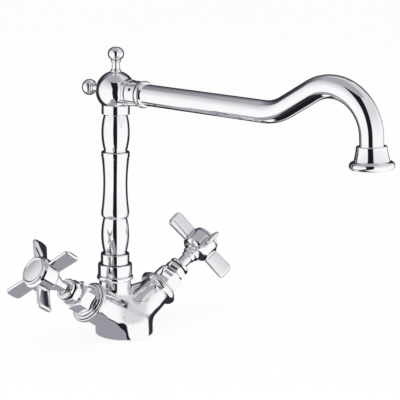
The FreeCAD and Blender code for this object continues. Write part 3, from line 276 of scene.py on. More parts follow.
bpy.ops.object.select_all(action="DESELECT")
bpy.ops.mesh.primitive_cylinder_add(
    vertices=TENT_SIDES, radius=TENT_RADIUS, depth=TENT_HEIGHT,
    location=(0.0, 0.0, TENT_HEIGHT / 2 + TENT_LIFT))
tent = bpy.context.object
tent.name = "light_tent"
bpy.ops.object.transform_apply(location=True)
cloth = fresh_material("tent_cloth")
tree = cloth.node_tree
where = tree.nodes.new("ShaderNodeTexCoord")
axes = tree.nodes.new("ShaderNodeSeparateXYZ")
tree.links.new(where.outputs["Object"], axes.inputs[0])
across, ahead, height = axes.outputs["X"], axes.outputs["Y"], axes.outputs["Z"]
bearing = bearing_from(tree, across, ahead)
foot_bearing = bearing_from(tree, across, combined(tree, "ADD", ahead, FOOT_FORWARD))
squares = [combined(tree, "MULTIPLY", way, way) for way in (ahead, across)]
reach = combined(tree, "SQRT", combined(tree, "ADD", *squares))

left_wall = ramp(tree, height, *LEFT_WALL)
right_wall = ramp(tree, height, *RIGHT_WALL)
back_wall = ramp(tree, height, *BACK_WALL)
walls = faded(tree, left_wall, right_wall, round_front(tree, bearing, *RIGHT_SIDE))
walls = faded(tree, walls, back_wall, between(tree, bearing, *BACK_SIDE))
high_corner = where_all(tree, between(tree, bearing, *CORNER_SIDE), above(tree, height, *CORNER_FOOT))
walls = faded(tree, walls, CORNER_LIGHT, high_corner)
gap_right = ramp(tree, height, *GAP_RIGHT)
gap = where_all(
    tree, above(tree, bearing, GAP_LEFT, GAP_SOFT), below(tree, bearing, gap_right, GAP_SOFT),
    below(tree, height, *GAP_TOP))
walls = faded(tree, walls, BLACK, gap)

roof = ramp(tree, across, *ROOF)

ground = faded(tree, GROUND_LIGHT, GROUND_BEHIND, between(tree, foot_bearing, *BEHIND_SIDE))
# Painted shade: the ground round the foot turns grey, as the floor there lies in the tap's shadow.
foot_shade_edge = ramp(tree, bearing, *FOOT_SHADE_EDGE)
painted_foot_shade = where_all(tree, below(tree, reach, foot_shade_edge, FOOT_SHADE_SOFT), between(tree, bearing, *FOOT_SHADE_SIDE))
ground = faded(tree, ground, FOOT_SHADE_LIGHT, painted_foot_shade)
# Painted shadow: black ground under the spout, shown only to steep looks from above.
steep = tree.nodes.new("ShaderNodeLayerWeight")
painted_spout_shadow = where_all(
    tree, between(tree, reach, *PATCH_REACH), round_front(tree, bearing, *PATCH_SIDE),
    below(tree, steep.outputs["Facing"], *PATCH_STEEP))
ground = faded(tree, ground, BLACK, painted_spout_shadow)
line_right = ramp(tree, reach, *LINE_RIGHT)
gap_line = where_all(
    tree, above(tree, bearing, GAP_LEFT, LINE_SOFT), below(tree, bearing, line_right, LINE_SOFT))
ground = faded(tree, ground, BLACK, gap_line)

brightness = faded(tree, walls, roof, above(tree, height, *ROOF_EDGE))
brightness = faded(tree, ground, brightness, above(tree, height, *WALL_FOOT))
tint = tree.nodes.new("ShaderNodeCombineColor")
tree.links.new(brightness, tint.inputs["Red"])
tree.links.new(brightness, tint.inputs["Green"])
tree.links.new(combined(tree, "POWER", brightness, BLUE_LIFT), tint.inputs["Blue"])
shine = tree.nodes.new("ShaderNodeEmission")
tree.links.new(tint.outputs["Color"], shine.inputs["Color"])
finished(tree, shine)
tent.data.materials.append(cloth)
tent.visible_camera = False
tent.visible_diffuse = False
tent.visible_shadow = False


# Chrome plate: copper, nickel and chrome over polished brass. Hand buffing leaves faint clouds, water
# leaves a few dried marks, and painted shade darkens the creases where the plate mirrors itself.
CLOUD_DETAIL = 4.0
DROPS_FINER = 2.3
DROP_MARK = (-1.0, 0.16, 0.08)
CREASE_REACH = 0.012
CREASE_EDGE = 0.635
CREASE_SOFT = 0.185
# Colour of the painted shade deep in the creases.
CREASE_SHADE_COLOUR = (0.09, 0.09, 0.10)


def new_group(name, inputs, outputs):
    """Empty node group with these sockets; gives the group, what goes into it and what comes out."""
    group = bpy.data.node_groups.new(name, "ShaderNodeTree")
    for direction, sockets in (("INPUT", inputs), ("OUTPUT", outputs)):
        for word, kind in sockets.items():
            group.interface.new_socket(word, in_out=direction, socket_type=kind)
    entry = group.nodes.new("NodeGroupInput")
    result = group.nodes.new("NodeGroupOutput")
    return group, entry.outputs, result.inputs


def buffed_surface():
    """Node group with the clouds and dried marks of a buffed metal surface."""
    group, given, result = new_group(
        "buffed_surface", {"Vector": "NodeSocketVector", "Scale": "NodeSocketFloat"},
        {"Clouds": "NodeSocketFloat", "Marks": "NodeSocketFloat"})
    clouds = group.nodes.new("ShaderNodeTexNoise")
    clouds.inputs["Detail"].default_value = CLOUD_DETAIL
    group.links.new(given["Vector"], clouds.inputs["Vector"])
    group.links.new(given["Scale"], clouds.inputs["Scale"])
    group.links.new(clouds.outputs["Fac"], result["Clouds"])
    drops = group.nodes.new("ShaderNodeTexVoronoi")
    drops.feature = "SMOOTH_F1"
    group.links.new(given["Vector"], drops.inputs["Vector"])
    group.links.new(combined(group, "MULTIPLY", given["Scale"], DROPS_FINER), drops.inputs["Scale"])
    group.links.new(between(group, drops.outputs["Distance"], *DROP_MARK), result["Marks"])
    return group


def painted_crease_shade():
    """Node group with a mask for painted crease shade: 1 on open surface, 0 deep in a crease of the same
    piece.
    """
    group, given, result = new_group(
        "painted_crease_shade", {"Reach": "NodeSocketFloat"}, {"Open": "NodeSocketFloat"})
    crease = group.nodes.new("ShaderNodeAmbientOcclusion")
    crease.only_local = True
    group.links.new(given["Reach"], crease.inputs["Distance"])
    group.links.new(above(group, crease.outputs["AO"], CREASE_EDGE, CREASE_SOFT), result["Open"])
    return group


def two_tone(tree, share, under, over):
    """Colour that turns from one to the other as the share goes from 0 to 1."""
    blend = tree.nodes.new("ShaderNodeMix")
    blend.data_type = "RGBA"
    tree.links.new(share, blend.inputs["Factor"])
    tones = [socket for socket in blend.inputs if socket.type == "RGBA"]
    for tone, socket in zip((under, over), tones):
        feed(tree, (*tone, 1.0) if isinstance(tone, tuple) else tone, socket)
    return next(socket for socket in blend.outputs if socket.type == "RGBA")


buffing = buffed_surface()
crease_shading = painted_crease_shade()


def metal_finish(name, dark, light, smooth, dull, scale):
    """Metal whose colour and gloss follow the buffing, with painted shade darkening its creases."""
    material = fresh_material(name)
    tree = material.node_tree
    place = tree.nodes.new("ShaderNodeTexCoord")
    surface = tree.nodes.new("ShaderNodeGroup")
    surface.node_tree = buffing
    surface.inputs["Scale"].default_value = scale
    tree.links.new(place.outputs["Object"], surface.inputs["Vector"])
    crease = tree.nodes.new("ShaderNodeGroup")
    crease.node_tree = crease_shading
    crease.inputs["Reach"].default_value = CREASE_REACH
    plate = two_tone(tree, surface.outputs["Clouds"], dark, light)
    metal = tree.nodes.new("ShaderNodeBsdfPrincipled")
    metal.inputs["Metallic"].default_value = 1.0
    # Painted shade: the plate turns to the crease shade colour deep in the creases.
    tree.links.new(two_tone(tree, crease.outputs["Open"], CREASE_SHADE_COLOUR, plate), metal.inputs["Base Color"])
    gloss = ramp(tree, surface.outputs["Marks"], 0.0, 1.0, smooth, dull)
    tree.links.new(gloss, metal.inputs["Roughness"])
    finished(tree, metal)
    return material


chrome = metal_finish(
    "chrome_plate", dark=(0.92, 0.92, 0.935), light=(0.955, 0.955, 0.965), smooth=0.02, dull=0.045,
    scale=60.0)


# Mixer body: a hollow brass casting, ground smooth and plated. A round foot rises into a shoulder
# that leans back to the column's neck, and the two arms grow out of it in one skin, with low webs
# between arms and neck. Inlets, stud hole, valve bores and column bore are drilled. Sizes are in mm.
MM = 0.001
FOOT_RADIUS = 25.0
FOOT_HEIGHT = 14.0
FOOT_SIDES = 96
NECK_RADIUS = 13.8
SHOULDER_TOP = 36.0
NECK_TOP = 45.6
COLUMN_BACK = 13.8
LOFT_STEPS = 12
FACES_UP = 0.9
ARM_FROM = 9.3
ARM_RISE = 34.0
ARM_RADIUS = 14.0
ARM_ROOT_RADIUS = 15.7
ARM_START = 9.0
ARM_LENGTH = 41.0
WEB_START = 28.5
WEB_END = 35.5
WEB_BACK = 5.0
WEB_REACH = 25.0
WEB_RADIUS = 7.5
WEB_END_RADIUS = 6.0
# Skin: the step of its mesh, and how often each blend is smoothed and where it fades in and out.
SKIN_STEP = 0.7
SMOOTHING = 0.5
FRONT_PASSES = 500
FRONT_DEPTH = (-13.0, 1.0)
FRONT_SIDE = (20.0, 30.0)
FRONT_TOP = (30.0, 38.0)
NECK_PASSES = 20
NECK_LOW = (22.0, 28.0)
NECK_HIGH = (35.0, 43.0)
NECK_SIDE = (19.0, 27.0)
SEAM_PASSES = 70
SEAM_NEAR = (3.0, 13.0)
SEAM_LEAST = 0.05
KEPT_FOOT = (2.0, 9.0)
KEPT_ARM_END = (29.0, 37.0)
KEPT_ARM_SIDE = (14.0, 20.0)
KEPT_NECK = (36.0, 43.0)
KEPT_NECK_SIDE = (14.0, 18.0)
BODY_CREASE = 40.0
# Bores: radii, and where they start and end.
VALVE_BORE = 9.5
SEAT_AT = 27.5
SEAT_BORE = 3.6
SEAT_END = 12.7
SEAT_SIDES = 32
SPIGOT_RADIUS = 11.6
SPIGOT_TOP = 55.6
COLUMN_BORE = 8.56
COLUMN_FLOOR = 25.5
INLET_ASIDE = 10.5
INLET_BORE = 4.5
INLET_DEPTH = 16.0
STUD_FORWARD = 15.5
STUD_BORE = 3.4
STUD_DEPTH = 11.0
HOLE_SIDES = 48
GROOVE_INNER = 20.35
GROOVE_OUTER = 23.05
GROOVE_DEPTH = 1.62
PAST = 4.0
# Lathe work: steps round a piece, the fewest steps, longest step and widest turn, in degrees, along an
# arc of its outline, and how close two points are when they count as one.
LATHE_STEPS = 128
ARC_FEWEST = 6
ARC_STEP = 0.5
ARC_TURN = 4.0
CLOSE = 0.001
arm_ways = {
    side: Matrix.Translation((0.0, 0.0, ARM_FROM * MM)) @ Matrix.Rotation(math.radians(lean), 4, "Y")
    for side, lean in (("hot", ARM_RISE - 90), ("cold", 90 - ARM_RISE))}


def pick_only(*things):
    """Selects these objects and nothing else; the first is the active one."""
    bpy.ops.object.select_all(action="DESELECT")
    for thing in things:
        thing.select_set(True)
    bpy.context.view_layer.objects.active = things[0]


def rod(start, end, radius, far_radius=None, sides=64):
    """Round bar between two points given in millimetres."""
    start, end = Vector(start), Vector(end)
    run = end - start
    bpy.ops.object.select_all(action="DESELECT")
    bpy.ops.mesh.primitive_cone_add(
        vertices=sides, radius1=radius * MM, radius2=(far_radius or radius) * MM, depth=run.length * MM,
        location=(start + end) / 2 * MM, rotation=run.to_track_quat("Z", "Y").to_euler())
    bpy.ops.object.transform_apply()
    return bpy.context.object


def cut_with(piece, tool, operation="DIFFERENCE"):
    """Cuts one piece with another, adds it or keeps what they share; the tool is used up."""
    boolean = piece.modifiers.new("cut", "BOOLEAN")
    boolean.operation = operation
    boolean.solver = "EXACT"
    boolean.object = tool
    pick_only(piece)
    bpy.ops.object.modifier_apply(modifier="cut")
    bpy.data.objects.remove(tool)


def traced(outline):
    """Points of an outline; a third number bows the edge that follows outwards by so many millimetres."""
    points = []
    for here, there in zip(outline, outline[1:] + outline[:1]):
        start, end = Vector(here[:2]), Vector(there[:2])
        points.append(start)
        if len(here) < 3:
            continue
        rise = abs(here[2])
        hand = math.copysign(1.0, here[2])
        chord = (end - start).length
        bow = (chord * chord / 4 + rise * rise) / (2 * rise)
        side = Vector((start.y - end.y, end.x - start.x)) / chord * hand
        middle = (start + end) / 2 + side * (bow - rise)
        first = start - middle
        sweep = 2 * math.asin(min(chord / 2 / bow, 1.0))
        if rise > bow:
            sweep = 2 * math.pi - sweep
        count = max(ARC_FEWEST, round(sweep * bow / ARC_STEP), round(math.degrees(sweep) / ARC_TURN))
        for number in range(1, count):
            turn = sweep * number / count * hand
            points.append(middle + Vector((first.x * math.cos(turn) - first.y * math.sin(turn),
                                           first.x * math.sin(turn) + first.y * math.cos(turn))))
    return points


def drawn_outline(points):
    """New object in edit mode with one line through the points, drawn vertex by vertex."""
    bpy.ops.object.select_all(action="DESELECT")
    bpy.ops.mesh.primitive_plane_add(size=MM)
    bpy.ops.object.mode_set(mode="EDIT")
    bpy.ops.mesh.select_mode(type="VERT")
    bpy.ops.mesh.select_all(action="SELECT")
    bpy.ops.mesh.merge(type="CENTER")
    bpy.ops.transform.translate(value=(points[0].x * MM, 0.0, points[0].y * MM))
    for before, after in zip(points, points[1:]):
        step = (after - before) * MM
        bpy.ops.mesh.extrude_vertices_move(TRANSFORM_OT_translate={"value": (step.x, 0.0, step.y)})
    bpy.ops.mesh.select_all(action="SELECT")
    return bpy.context.object


def merge_close(distance):
    """Merges the points of the mesh in edit mode that lie closer than this, in millimetres."""
    bpy.ops.mesh.select_all(action="SELECT")
    bpy.ops.mesh.remove_doubles(threshold=distance * MM)
    bpy.ops.mesh.dissolve_degenerate(threshold=distance * MM)


def turned(name, outline):
    """Piece turned on a lathe about Z; the outline gives radius and height and closes on itself."""
    points = traced(outline)
    piece = drawn_outline(points + points[:1])
    piece.name = name
    bpy.ops.mesh.spin(steps=LATHE_STEPS, angle=2 * math.pi, center=(0.0, 0.0, 0.0), axis=(0.0, 0.0, 1.0))
    merge_close(CLOSE)
    bpy.ops.mesh.normals_make_consistent(inside=False)
    bpy.ops.object.mode_set(mode="OBJECT")
    return piece


def at_arm(side, along):
    """Point on an arm's axis, in millimetres."""
    return (arm_ways[side] @ Vector((0.0, 0.0, along * MM))) / MM


def at_column(up):
    """Point on the column's axis, in millimetres."""
    return (0.0, COLUMN_BACK, up)


def eased(value, low, high):
    """Share from 0 at low to 1 at high, with a soft start and end."""
    share = min(max((value - low) / (high - low), 0.0), 1.0)
    return share * share * (3 - 2 * share)


def shoulder_at(drawn):
    """Radius of the shoulder and how far back its centre is, from the foot, 0, to the neck, 1."""
    return FOOT_RADIUS + (NECK_RADIUS - FOOT_RADIUS) * drawn, COLUMN_BACK * drawn


def smooth_under(piece, limit):
    """Shades a piece smooth over the edges that turn by less than the limit, in degrees."""
    pick_only(piece)
    bpy.ops.object.shade_smooth_by_angle(angle=math.radians(limit))


def dress(piece, material):
    """Gives a piece one finish all over."""
    piece.data.materials.clear()
    piece.data.materials.append(material)


def put(piece, way, rides_on, stands_for, material):
    """Sets a finished piece in its place, gives it its finish and lets it stand for its solid."""
    pick_only(piece)
    piece.matrix_world = way
    bpy.ops.object.transform_apply()
    dress(piece, material)
    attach(piece, rides_on)
    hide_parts(stands_for)


bpy.ops.object.select_all(action="DESELECT")
bpy.ops.mesh.primitive_cylinder_add(
    vertices=FOOT_SIDES, radius=FOOT_RADIUS * MM, depth=FOOT_HEIGHT * MM,
    location=(0.0, 0.0, FOOT_HEIGHT / 2 * MM))
body = bpy.context.object
body.name = "body_casting"
bpy.ops.object.transform_apply()
bpy.ops.object.mode_set(mode="EDIT")
bpy.ops.mesh.select_mode(type="FACE")
bpy.ops.mesh.select_all(action="DESELECT")
bpy.ops.object.mode_set(mode="OBJECT")
for face in body.data.polygons:
    face.select = face.normal.z > FACES_UP
bpy.ops.object.mode_set(mode="EDIT")
top, back, radius = FOOT_HEIGHT, 0.0, FOOT_RADIUS
for number in range(1, LOFT_STEPS + 2):
    climbed = min(number / LOFT_STEPS, 1.0)
    new_top = FOOT_HEIGHT + (SHOULDER_TOP - FOOT_HEIGHT) * climbed if number <= LOFT_STEPS else NECK_TOP
    new_radius, new_back = shoulder_at(eased(climbed, 0.0, 1.0))
    shift = (0.0, (new_back - back) * MM, (new_top - top) * MM)
    bpy.ops.mesh.extrude_region_move(TRANSFORM_OT_translate={"value": shift})
    size = new_radius / radius
    bpy.ops.transform.resize(value=(size, size, 1.0), center_override=(0.0, new_back * MM, new_top * MM))
    top, back, radius = new_top, new_back, new_radius
bpy.ops.object.mode_set(mode="OBJECT")
arms = [rod(at_arm(side, ARM_START), at_arm(side, ARM_LENGTH), ARM_ROOT_RADIUS, ARM_RADIUS)
        for side in arm_ways]
webs = [rod(at_column(WEB_START), (aside, WEB_BACK, WEB_END), WEB_RADIUS, WEB_END_RADIUS)
        for aside in (-WEB_REACH, WEB_REACH)]
pick_only(body, *arms, *webs)
bpy.ops.object.join()
body.data.remesh_voxel_size = SKIN_STEP * MM
bpy.ops.object.voxel_remesh()

front_blend = body.vertex_groups.new(name="front_blend")
seam_blend = body.vertex_groups.new(name="seam_blend")
neck_blend = body.vertex_groups.new(name="neck_blend")
rise_cos = math.cos(math.radians(ARM_RISE))
rise_sin = math.sin(math.radians(ARM_RISE))
for vertex in body.data.vertices:
    spot = vertex.co / MM
    aside = abs(spot.x)
    along = aside * rise_cos + (spot.z - ARM_FROM) * rise_sin
    off_axis = aside * rise_sin - (spot.z - ARM_FROM) * rise_cos
    taper = (ARM_RADIUS - ARM_ROOT_RADIUS) * (along - ARM_START) / (ARM_LENGTH - ARM_START)
    from_arm = abs(math.hypot(off_axis, spot.y) - ARM_ROOT_RADIUS - taper)
    near_radius, near_back = shoulder_at(eased(spot.z, FOOT_HEIGHT, SHOULDER_TOP))
    from_shoulder = abs(math.hypot(spot.x, spot.y - near_back) - near_radius)
    seam = 1 - eased(max(from_arm, from_shoulder), *SEAM_NEAR)
    kept = eased(spot.z, *KEPT_FOOT) * (1 - eased(along, *KEPT_ARM_END) * eased(aside, *KEPT_ARM_SIDE))
    kept *= 1 - eased(spot.z, *KEPT_NECK) * (1 - eased(aside, *KEPT_NECK_SIDE))
    seam_blend.add([vertex.index], SEAM_LEAST + (1 - SEAM_LEAST) * seam * kept, "REPLACE")
    front = (1 - eased(spot.y, *FRONT_DEPTH)) * (1 - eased(aside, *FRONT_SIDE))
    front *= 1 - eased(spot.z, *FRONT_TOP)
    front_blend.add([vertex.index], front * kept, "REPLACE")
    neck = eased(spot.z, *NECK_LOW) * (1 - eased(spot.z, *NECK_HIGH)) * (1 - eased(aside, *NECK_SIDE))
    neck_blend.add([vertex.index], neck, "REPLACE")
for blend, passes in (
        ("front_blend", FRONT_PASSES), ("neck_blend", NECK_PASSES), ("seam_blend", SEAM_PASSES)):
    smoothing = body.modifiers.new("smoothing", "SMOOTH")
    smoothing.factor = SMOOTHING
    smoothing.iterations = passes
    smoothing.vertex_group = blend
    bpy.ops.object.modifier_apply(modifier="smoothing")
body.vertex_groups.clear()

for side in arm_ways:
    cut_with(body, rod(at_arm(side, SEAT_AT), at_arm(side, ARM_LENGTH + PAST), VALVE_BORE))
    cut_with(body, rod(at_arm(side, SEAT_END), at_arm(side, SEAT_AT + PAST), SEAT_BORE, sides=SEAT_SIDES))
cut_with(body, rod(at_column(NECK_TOP - PAST), at_column(SPIGOT_TOP), SPIGOT_RADIUS), "UNION")
cut_with(body, rod(at_column(COLUMN_FLOOR), at_column(SPIGOT_TOP + PAST), COLUMN_BORE))
for aside, forward, bore, deep in (
        (-INLET_ASIDE, 0.0, INLET_BORE, INLET_DEPTH), (INLET_ASIDE, 0.0, INLET_BORE, INLET_DEPTH),
        (0.0, STUD_FORWARD, STUD_BORE, STUD_DEPTH)):
    cut_with(body, rod((aside, -forward, -PAST), (aside, -forward, deep), bore, sides=HOLE_SIDES))
cut_with(body, turned("groove", [
    (GROOVE_INNER, -PAST), (GROOVE_OUTER, -PAST),
    (GROOVE_OUTER, GROOVE_DEPTH), (GROOVE_INNER, GROOVE_DEPTH)]))
smooth_under(body, BODY_CREASE)
put(body, Matrix.Identity(4), "body", "mixer_body", chrome)


# Base seal: a ring of black rubber, moulded, with a dull and dusty skin. It is let into a groove in
# the underside of the foot and keeps splashed water out of the deck's hole.
MOTTLE_DETAIL = 6.0
GRAIN_STRENGTH = 0.15
GRAIN_DEPTH = 0.0001
GLOSS_SPREAD = 0.08
MOTTLE_LOW = 0.3
MOTTLE_HIGH = 0.7


def soft_finish(name, dark, light, roughness, scale):
    """Moulded rubber or plastic: a mottled colour, a dull gloss and a fine grain."""
    material = fresh_material(name)
    tree = material.node_tree
    place = tree.nodes.new("ShaderNodeTexCoord")
    mottle = tree.nodes.new("ShaderNodeTexNoise")
    mottle.inputs["Scale"].default_value = scale
    mottle.inputs["Detail"].default_value = MOTTLE_DETAIL
    tree.links.new(place.outputs["Object"], mottle.inputs["Vector"])
    pattern = mottle.outputs["Fac"]
    relief = tree.nodes.new("ShaderNodeBump")
    relief.inputs["Strength"].default_value = GRAIN_STRENGTH
    relief.inputs["Distance"].default_value = GRAIN_DEPTH
    tree.links.new(pattern, relief.inputs["Height"])
    gloss = ramp(tree, pattern, MOTTLE_LOW, MOTTLE_HIGH, roughness - GLOSS_SPREAD, roughness + GLOSS_SPREAD)
    skin = tree.nodes.new("ShaderNodeBsdfPrincipled")
    tree.links.new(two_tone(tree, pattern, dark, light), skin.inputs["Base Color"])
    tree.links.new(gloss, skin.inputs["Roughness"])
    tree.links.new(relief.outputs["Normal"], skin.inputs["Normal"])
    finished(tree, skin)
    return material


rubber = soft_finish(
    "black_rubber", dark=(0.016, 0.016, 0.017), light=(0.035, 0.034, 0.033), roughness=0.62, scale=900.0)
dress(nodes["base_seal"], rubber)


# Trim ring and union nut: turned brass rings, plated. The half-round ring sits on the neck, and the
# nut screws down on it and holds the column; an acetal washer between them carries the column.
TRIM_TOP = 50.1
NUT_TOP = 60.1
NUT_BORE = 11.65
TRIM_ROUNDING = 0.2
NUT_ROUNDING = 0.3


def lead_shading(piece):
    """Lets the large faces lead the shading, so that they look flat or even up to their edges."""
    weighing = piece.modifiers.new("weighing", "WEIGHTED_NORMAL")
    weighing.keep_sharp = True
    bpy.ops.object.modifier_apply(modifier="weighing")


def round_edges(piece, width, segments=3, limit=35.0):
    """Breaks the edges that turn by more than the limit, and smooths the rest."""
    pick_only(piece)
    bevel = piece.modifiers.new("rounding", "BEVEL")
    bevel.width = width * MM
    bevel.segments = segments
    bevel.limit_method = "ANGLE"
    bevel.angle_limit = math.radians(limit)
    bpy.ops.object.modifier_apply(modifier="rounding")
    smooth_under(piece, limit)
    lead_shading(piece)


upright = Matrix.Translation((0.0, COLUMN_BACK * MM, 0.0))
trim = turned("trim_band", [
    (NUT_BORE, NECK_TOP), (14.5, NECK_TOP, 1.3), (14.5, TRIM_TOP), (NUT_BORE, TRIM_TOP)])
round_edges(trim, TRIM_ROUNDING)
put(trim, upright, "body", "trim_ring", chrome)
nut = turned("union_nut", [
    (NUT_BORE, TRIM_TOP), (14.35, TRIM_TOP), (14.85, 50.7), (14.85, 59.4), (14.4, NUT_TOP),
    (9.98, NUT_TOP), (9.98, 57.0), (NUT_BORE, 57.0)])
round_edges(nut, NUT_ROUNDING)
put(nut, upright, "body", "swivel_nut", chrome)
acetal = soft_finish(
    "white_acetal", dark=(0.72, 0.71, 0.68), light=(0.82, 0.81, 0.79), roughness=0.38, scale=700.0)
dress(nodes["bearing_washer"], acetal)


# Valve inserts: ceramic discs between rubber and acetal, on a turned spindle with two rubber rings.
# They sit in the arms; only the spindle's plated end shows between gland and handle.
ceramic = soft_finish(
    "fired_ceramic", dark=(0.70, 0.69, 0.66), light=(0.80, 0.79, 0.77), roughness=0.24, scale=1500.0)
ptfe = soft_finish(
    "pressed_ptfe", dark=(0.80, 0.80, 0.79), light=(0.88, 0.88, 0.87), roughness=0.45, scale=500.0)
steel = metal_finish(
    "turned_steel", dark=(0.52, 0.52, 0.53), light=(0.62, 0.62, 0.63), smooth=0.18, dull=0.32, scale=180.0)
insert_finishes = {
    "seat_seal": rubber,
    "fixed_disc": ceramic,
    "moving_disc": ceramic,
    "thrust_washer": acetal,
    "packing": ptfe,
    "stem_seal_lower": rubber,
    "stem_seal_upper": rubber,
    "spindle": chrome,
    "screw": steel,
}
for side in arm_ways:
    for word, finish in insert_finishes.items():
        dress(nodes[side + "_" + word], finish)


# Cover flanges: turned brass rings with two beads, plated. Each is clamped between the arm's end and
# the bonnet and hides the joint.
FLANGE_BORE = 9.7
FLANGE_TOP = 49.6
FLANGE_ROUNDING = 0.15
fixed_sides = {"hot": "body", "cold": "body"}


def copied(piece, name):
    """Copy of a piece with a mesh of its own."""
    pick_only(piece)
    bpy.ops.object.duplicate()
    twin = bpy.context.object
    twin.name = name
    return twin


def put_pair(piece, name, ways, rides_on, stands_for, material):
    """Sets a piece on the hot arm and a copy of it on the cold arm."""
    piece.name = "hot_" + name
    twin = copied(piece, "cold_" + name)
    for side, half in (("hot", piece), ("cold", twin)):
        put(half, ways[side], rides_on[side], side + "_" + stands_for, material)


flange = turned("arm_flange", [
    (FLANGE_BORE, ARM_LENGTH), (14.7, ARM_LENGTH, 0.9), (17.9, 44.2, 0.9), (16.5, 46.4), (16.0, 46.5, 0.45),
    (16.0, 48.0), (14.5, 48.1), (14.5, 49.1), (14.0, FLANGE_TOP), (FLANGE_BORE, FLANGE_TOP)])
round_edges(flange, FLANGE_ROUNDING, segments=2)
put_pair(flange, "arm_flange", arm_ways, fixed_sides, "flange", chrome)


# Bonnets and gland nuts: hexagon brass, faced and chamfered on a lathe and plated. The bonnet holds
# the valve in its arm, and the smaller gland nut presses the packing round the spindle.
BONNET_FLATS = 22.6
BONNET_TOP = 62.8
BONNET_FACE = 10.7
BONNET_ROUNDING = 0.22
GLAND_FLATS = 18.4
GLAND_FOOT = 64.0
GLAND_HEX_TOP = 70.6
GLAND_TOP = 75.0
GLAND_FACE = 8.7
GLAND_RECESS = 6.6
RECESS_DRILL = (74.0, 80.0)
GLAND_ROUNDING = 0.2
HEX_TURN = 30.0
HEX_LIMIT = 40.0
BONNET_DRILL = (40.0, 70.0)
GLAND_DRILL = (60.0, 80.0)
SPINDLE_BORE = 5.08
CHAMFER = 30.0
CHAMFER_SPARE = 0.2
END_SPARE = 0.01


def hexagon(name, flats, low, high, face_radius):
    """Hexagon bar whose ends are chamfered on a lathe; a corner points along X."""
    corner = flats / math.sqrt(3)
    bpy.ops.object.select_all(action="DESELECT")
    bpy.ops.mesh.primitive_cylinder_add(
        vertices=6, radius=corner * MM, depth=(high - low) * MM, location=(0.0, 0.0, (low + high) / 2 * MM),
        rotation=(0.0, 0.0, math.radians(HEX_TURN)))
    bar = bpy.context.object
    bar.name = name
    bpy.ops.object.transform_apply()
    outer = corner + CHAMFER_SPARE
    slope = (outer - face_radius) * math.tan(math.radians(CHAMFER))
    chamfered = turned("chamfer", [
        (0.0, low - END_SPARE), (face_radius, low - END_SPARE), (outer, low + slope), (outer, high - slope),
        (face_radius, high + END_SPARE), (0.0, high + END_SPARE)])
    cut_with(bar, chamfered, "INTERSECT")
    return bar


def drill(piece, low, high, bore):
    """Drills a piece along its own axis."""
    cut_with(piece, rod((0.0, 0.0, low), (0.0, 0.0, high), bore))


bonnet = hexagon("valve_bonnet", BONNET_FLATS, FLANGE_TOP, BONNET_TOP, BONNET_FACE)
cut_with(bonnet, turned("collar", [(0.0, 62.0), (8.7, 62.0), (8.7, GLAND_FOOT), (0.0, GLAND_FOOT)]), "UNION")
drill(bonnet, *BONNET_DRILL, SPINDLE_BORE)
round_edges(bonnet, BONNET_ROUNDING, segments=2, limit=HEX_LIMIT)
put_pair(bonnet, "valve_bonnet", arm_ways, fixed_sides, "bonnet", chrome)
gland = hexagon("gland_nut", GLAND_FLATS, GLAND_FOOT, GLAND_HEX_TOP, GLAND_FACE)
cut_with(gland, turned("collar", [
    (0.0, 70.0), (7.0, 70.0), (7.0, 71.9), (8.6, 71.9), (9.1, 72.4, 0.3), (9.1, 74.4), (8.4, GLAND_TOP),
    (0.0, GLAND_TOP)]), "UNION")
drill(gland, *GLAND_DRILL, SPINDLE_BORE)
drill(gland, *RECESS_DRILL, GLAND_RECESS)
round_edges(gland, GLAND_ROUNDING, segments=2, limit=HEX_LIMIT)
put_pair(gland, "gland_nut", arm_ways, fixed_sides, "gland", chrome)


# Cross handles: brass castings, ground and plated: a bell-shaped hub bored for spindle and screw, and
# four paddles with rounded rims and faintly crowned faces. A screw holds each on its spindle.
PADDLE_AT = 102.0
PADDLE_ROOT = 9.5
PADDLE_TIP = 35.5
ROOT_HALF = 5.9
TIP_HALF = 7.8
CORNER = 3.9
PADDLE_EDGE = 2.8
CROWN = 0.7
EDGE_NOSE = 1.16
TIP_NOSE = 2.1
TIP_TURNS = range(0, 81, 8)
HUB_FACE = 110.4
HUB_ROUNDING = 0.4
# The paddles are joined to the hub between two of its lathe steps, where no edges fall together.
BETWEEN_STEPS = 1.1
UNION_CLOSE = 0.004
HANDLE_CREASE = 30.0
REST_TURNS = {"hot": 44.7, "cold": 59.5}
handle = turned("cross_handle", [
    (5.1, 84.3), (5.9, 84.3), (6.3, 84.8), (6.3, 88.2), (7.8, 88.6), (7.8, 91.6), (8.6, 92.4, 1.3),
    (14.0, 97.6), (14.0, 108.6), (12.6, HUB_FACE), (9.45, HUB_FACE), (9.45, 106.6), (4.4, 106.6),
    (4.4, 102.0), (2.2, 102.0), (2.2, 98.0), (4.45, 98.0), (4.45, 86.0), (5.1, 86.0)])
round_edges(handle, HUB_ROUNDING)
section = traced([
    (PADDLE_EDGE / 2, PADDLE_AT - ROOT_HALF, CROWN), (PADDLE_EDGE / 2, PADDLE_AT + ROOT_HALF, EDGE_NOSE),
    (-PADDLE_EDGE / 2, PADDLE_AT + ROOT_HALF, CROWN), (-PADDLE_EDGE / 2, PADDLE_AT - ROOT_HALF, EDGE_NOSE)])
paddle = drawn_outline(section + section[:1])
paddle.name = "paddle"
bpy.ops.mesh.remove_doubles(threshold=CLOSE * MM)
bpy.ops.mesh.edge_face_add()
bpy.ops.transform.translate(value=(0.0, PADDLE_ROOT * MM, 0.0))
out, half, thick = PADDLE_ROOT, ROOT_HALF + EDGE_NOSE, 1.0
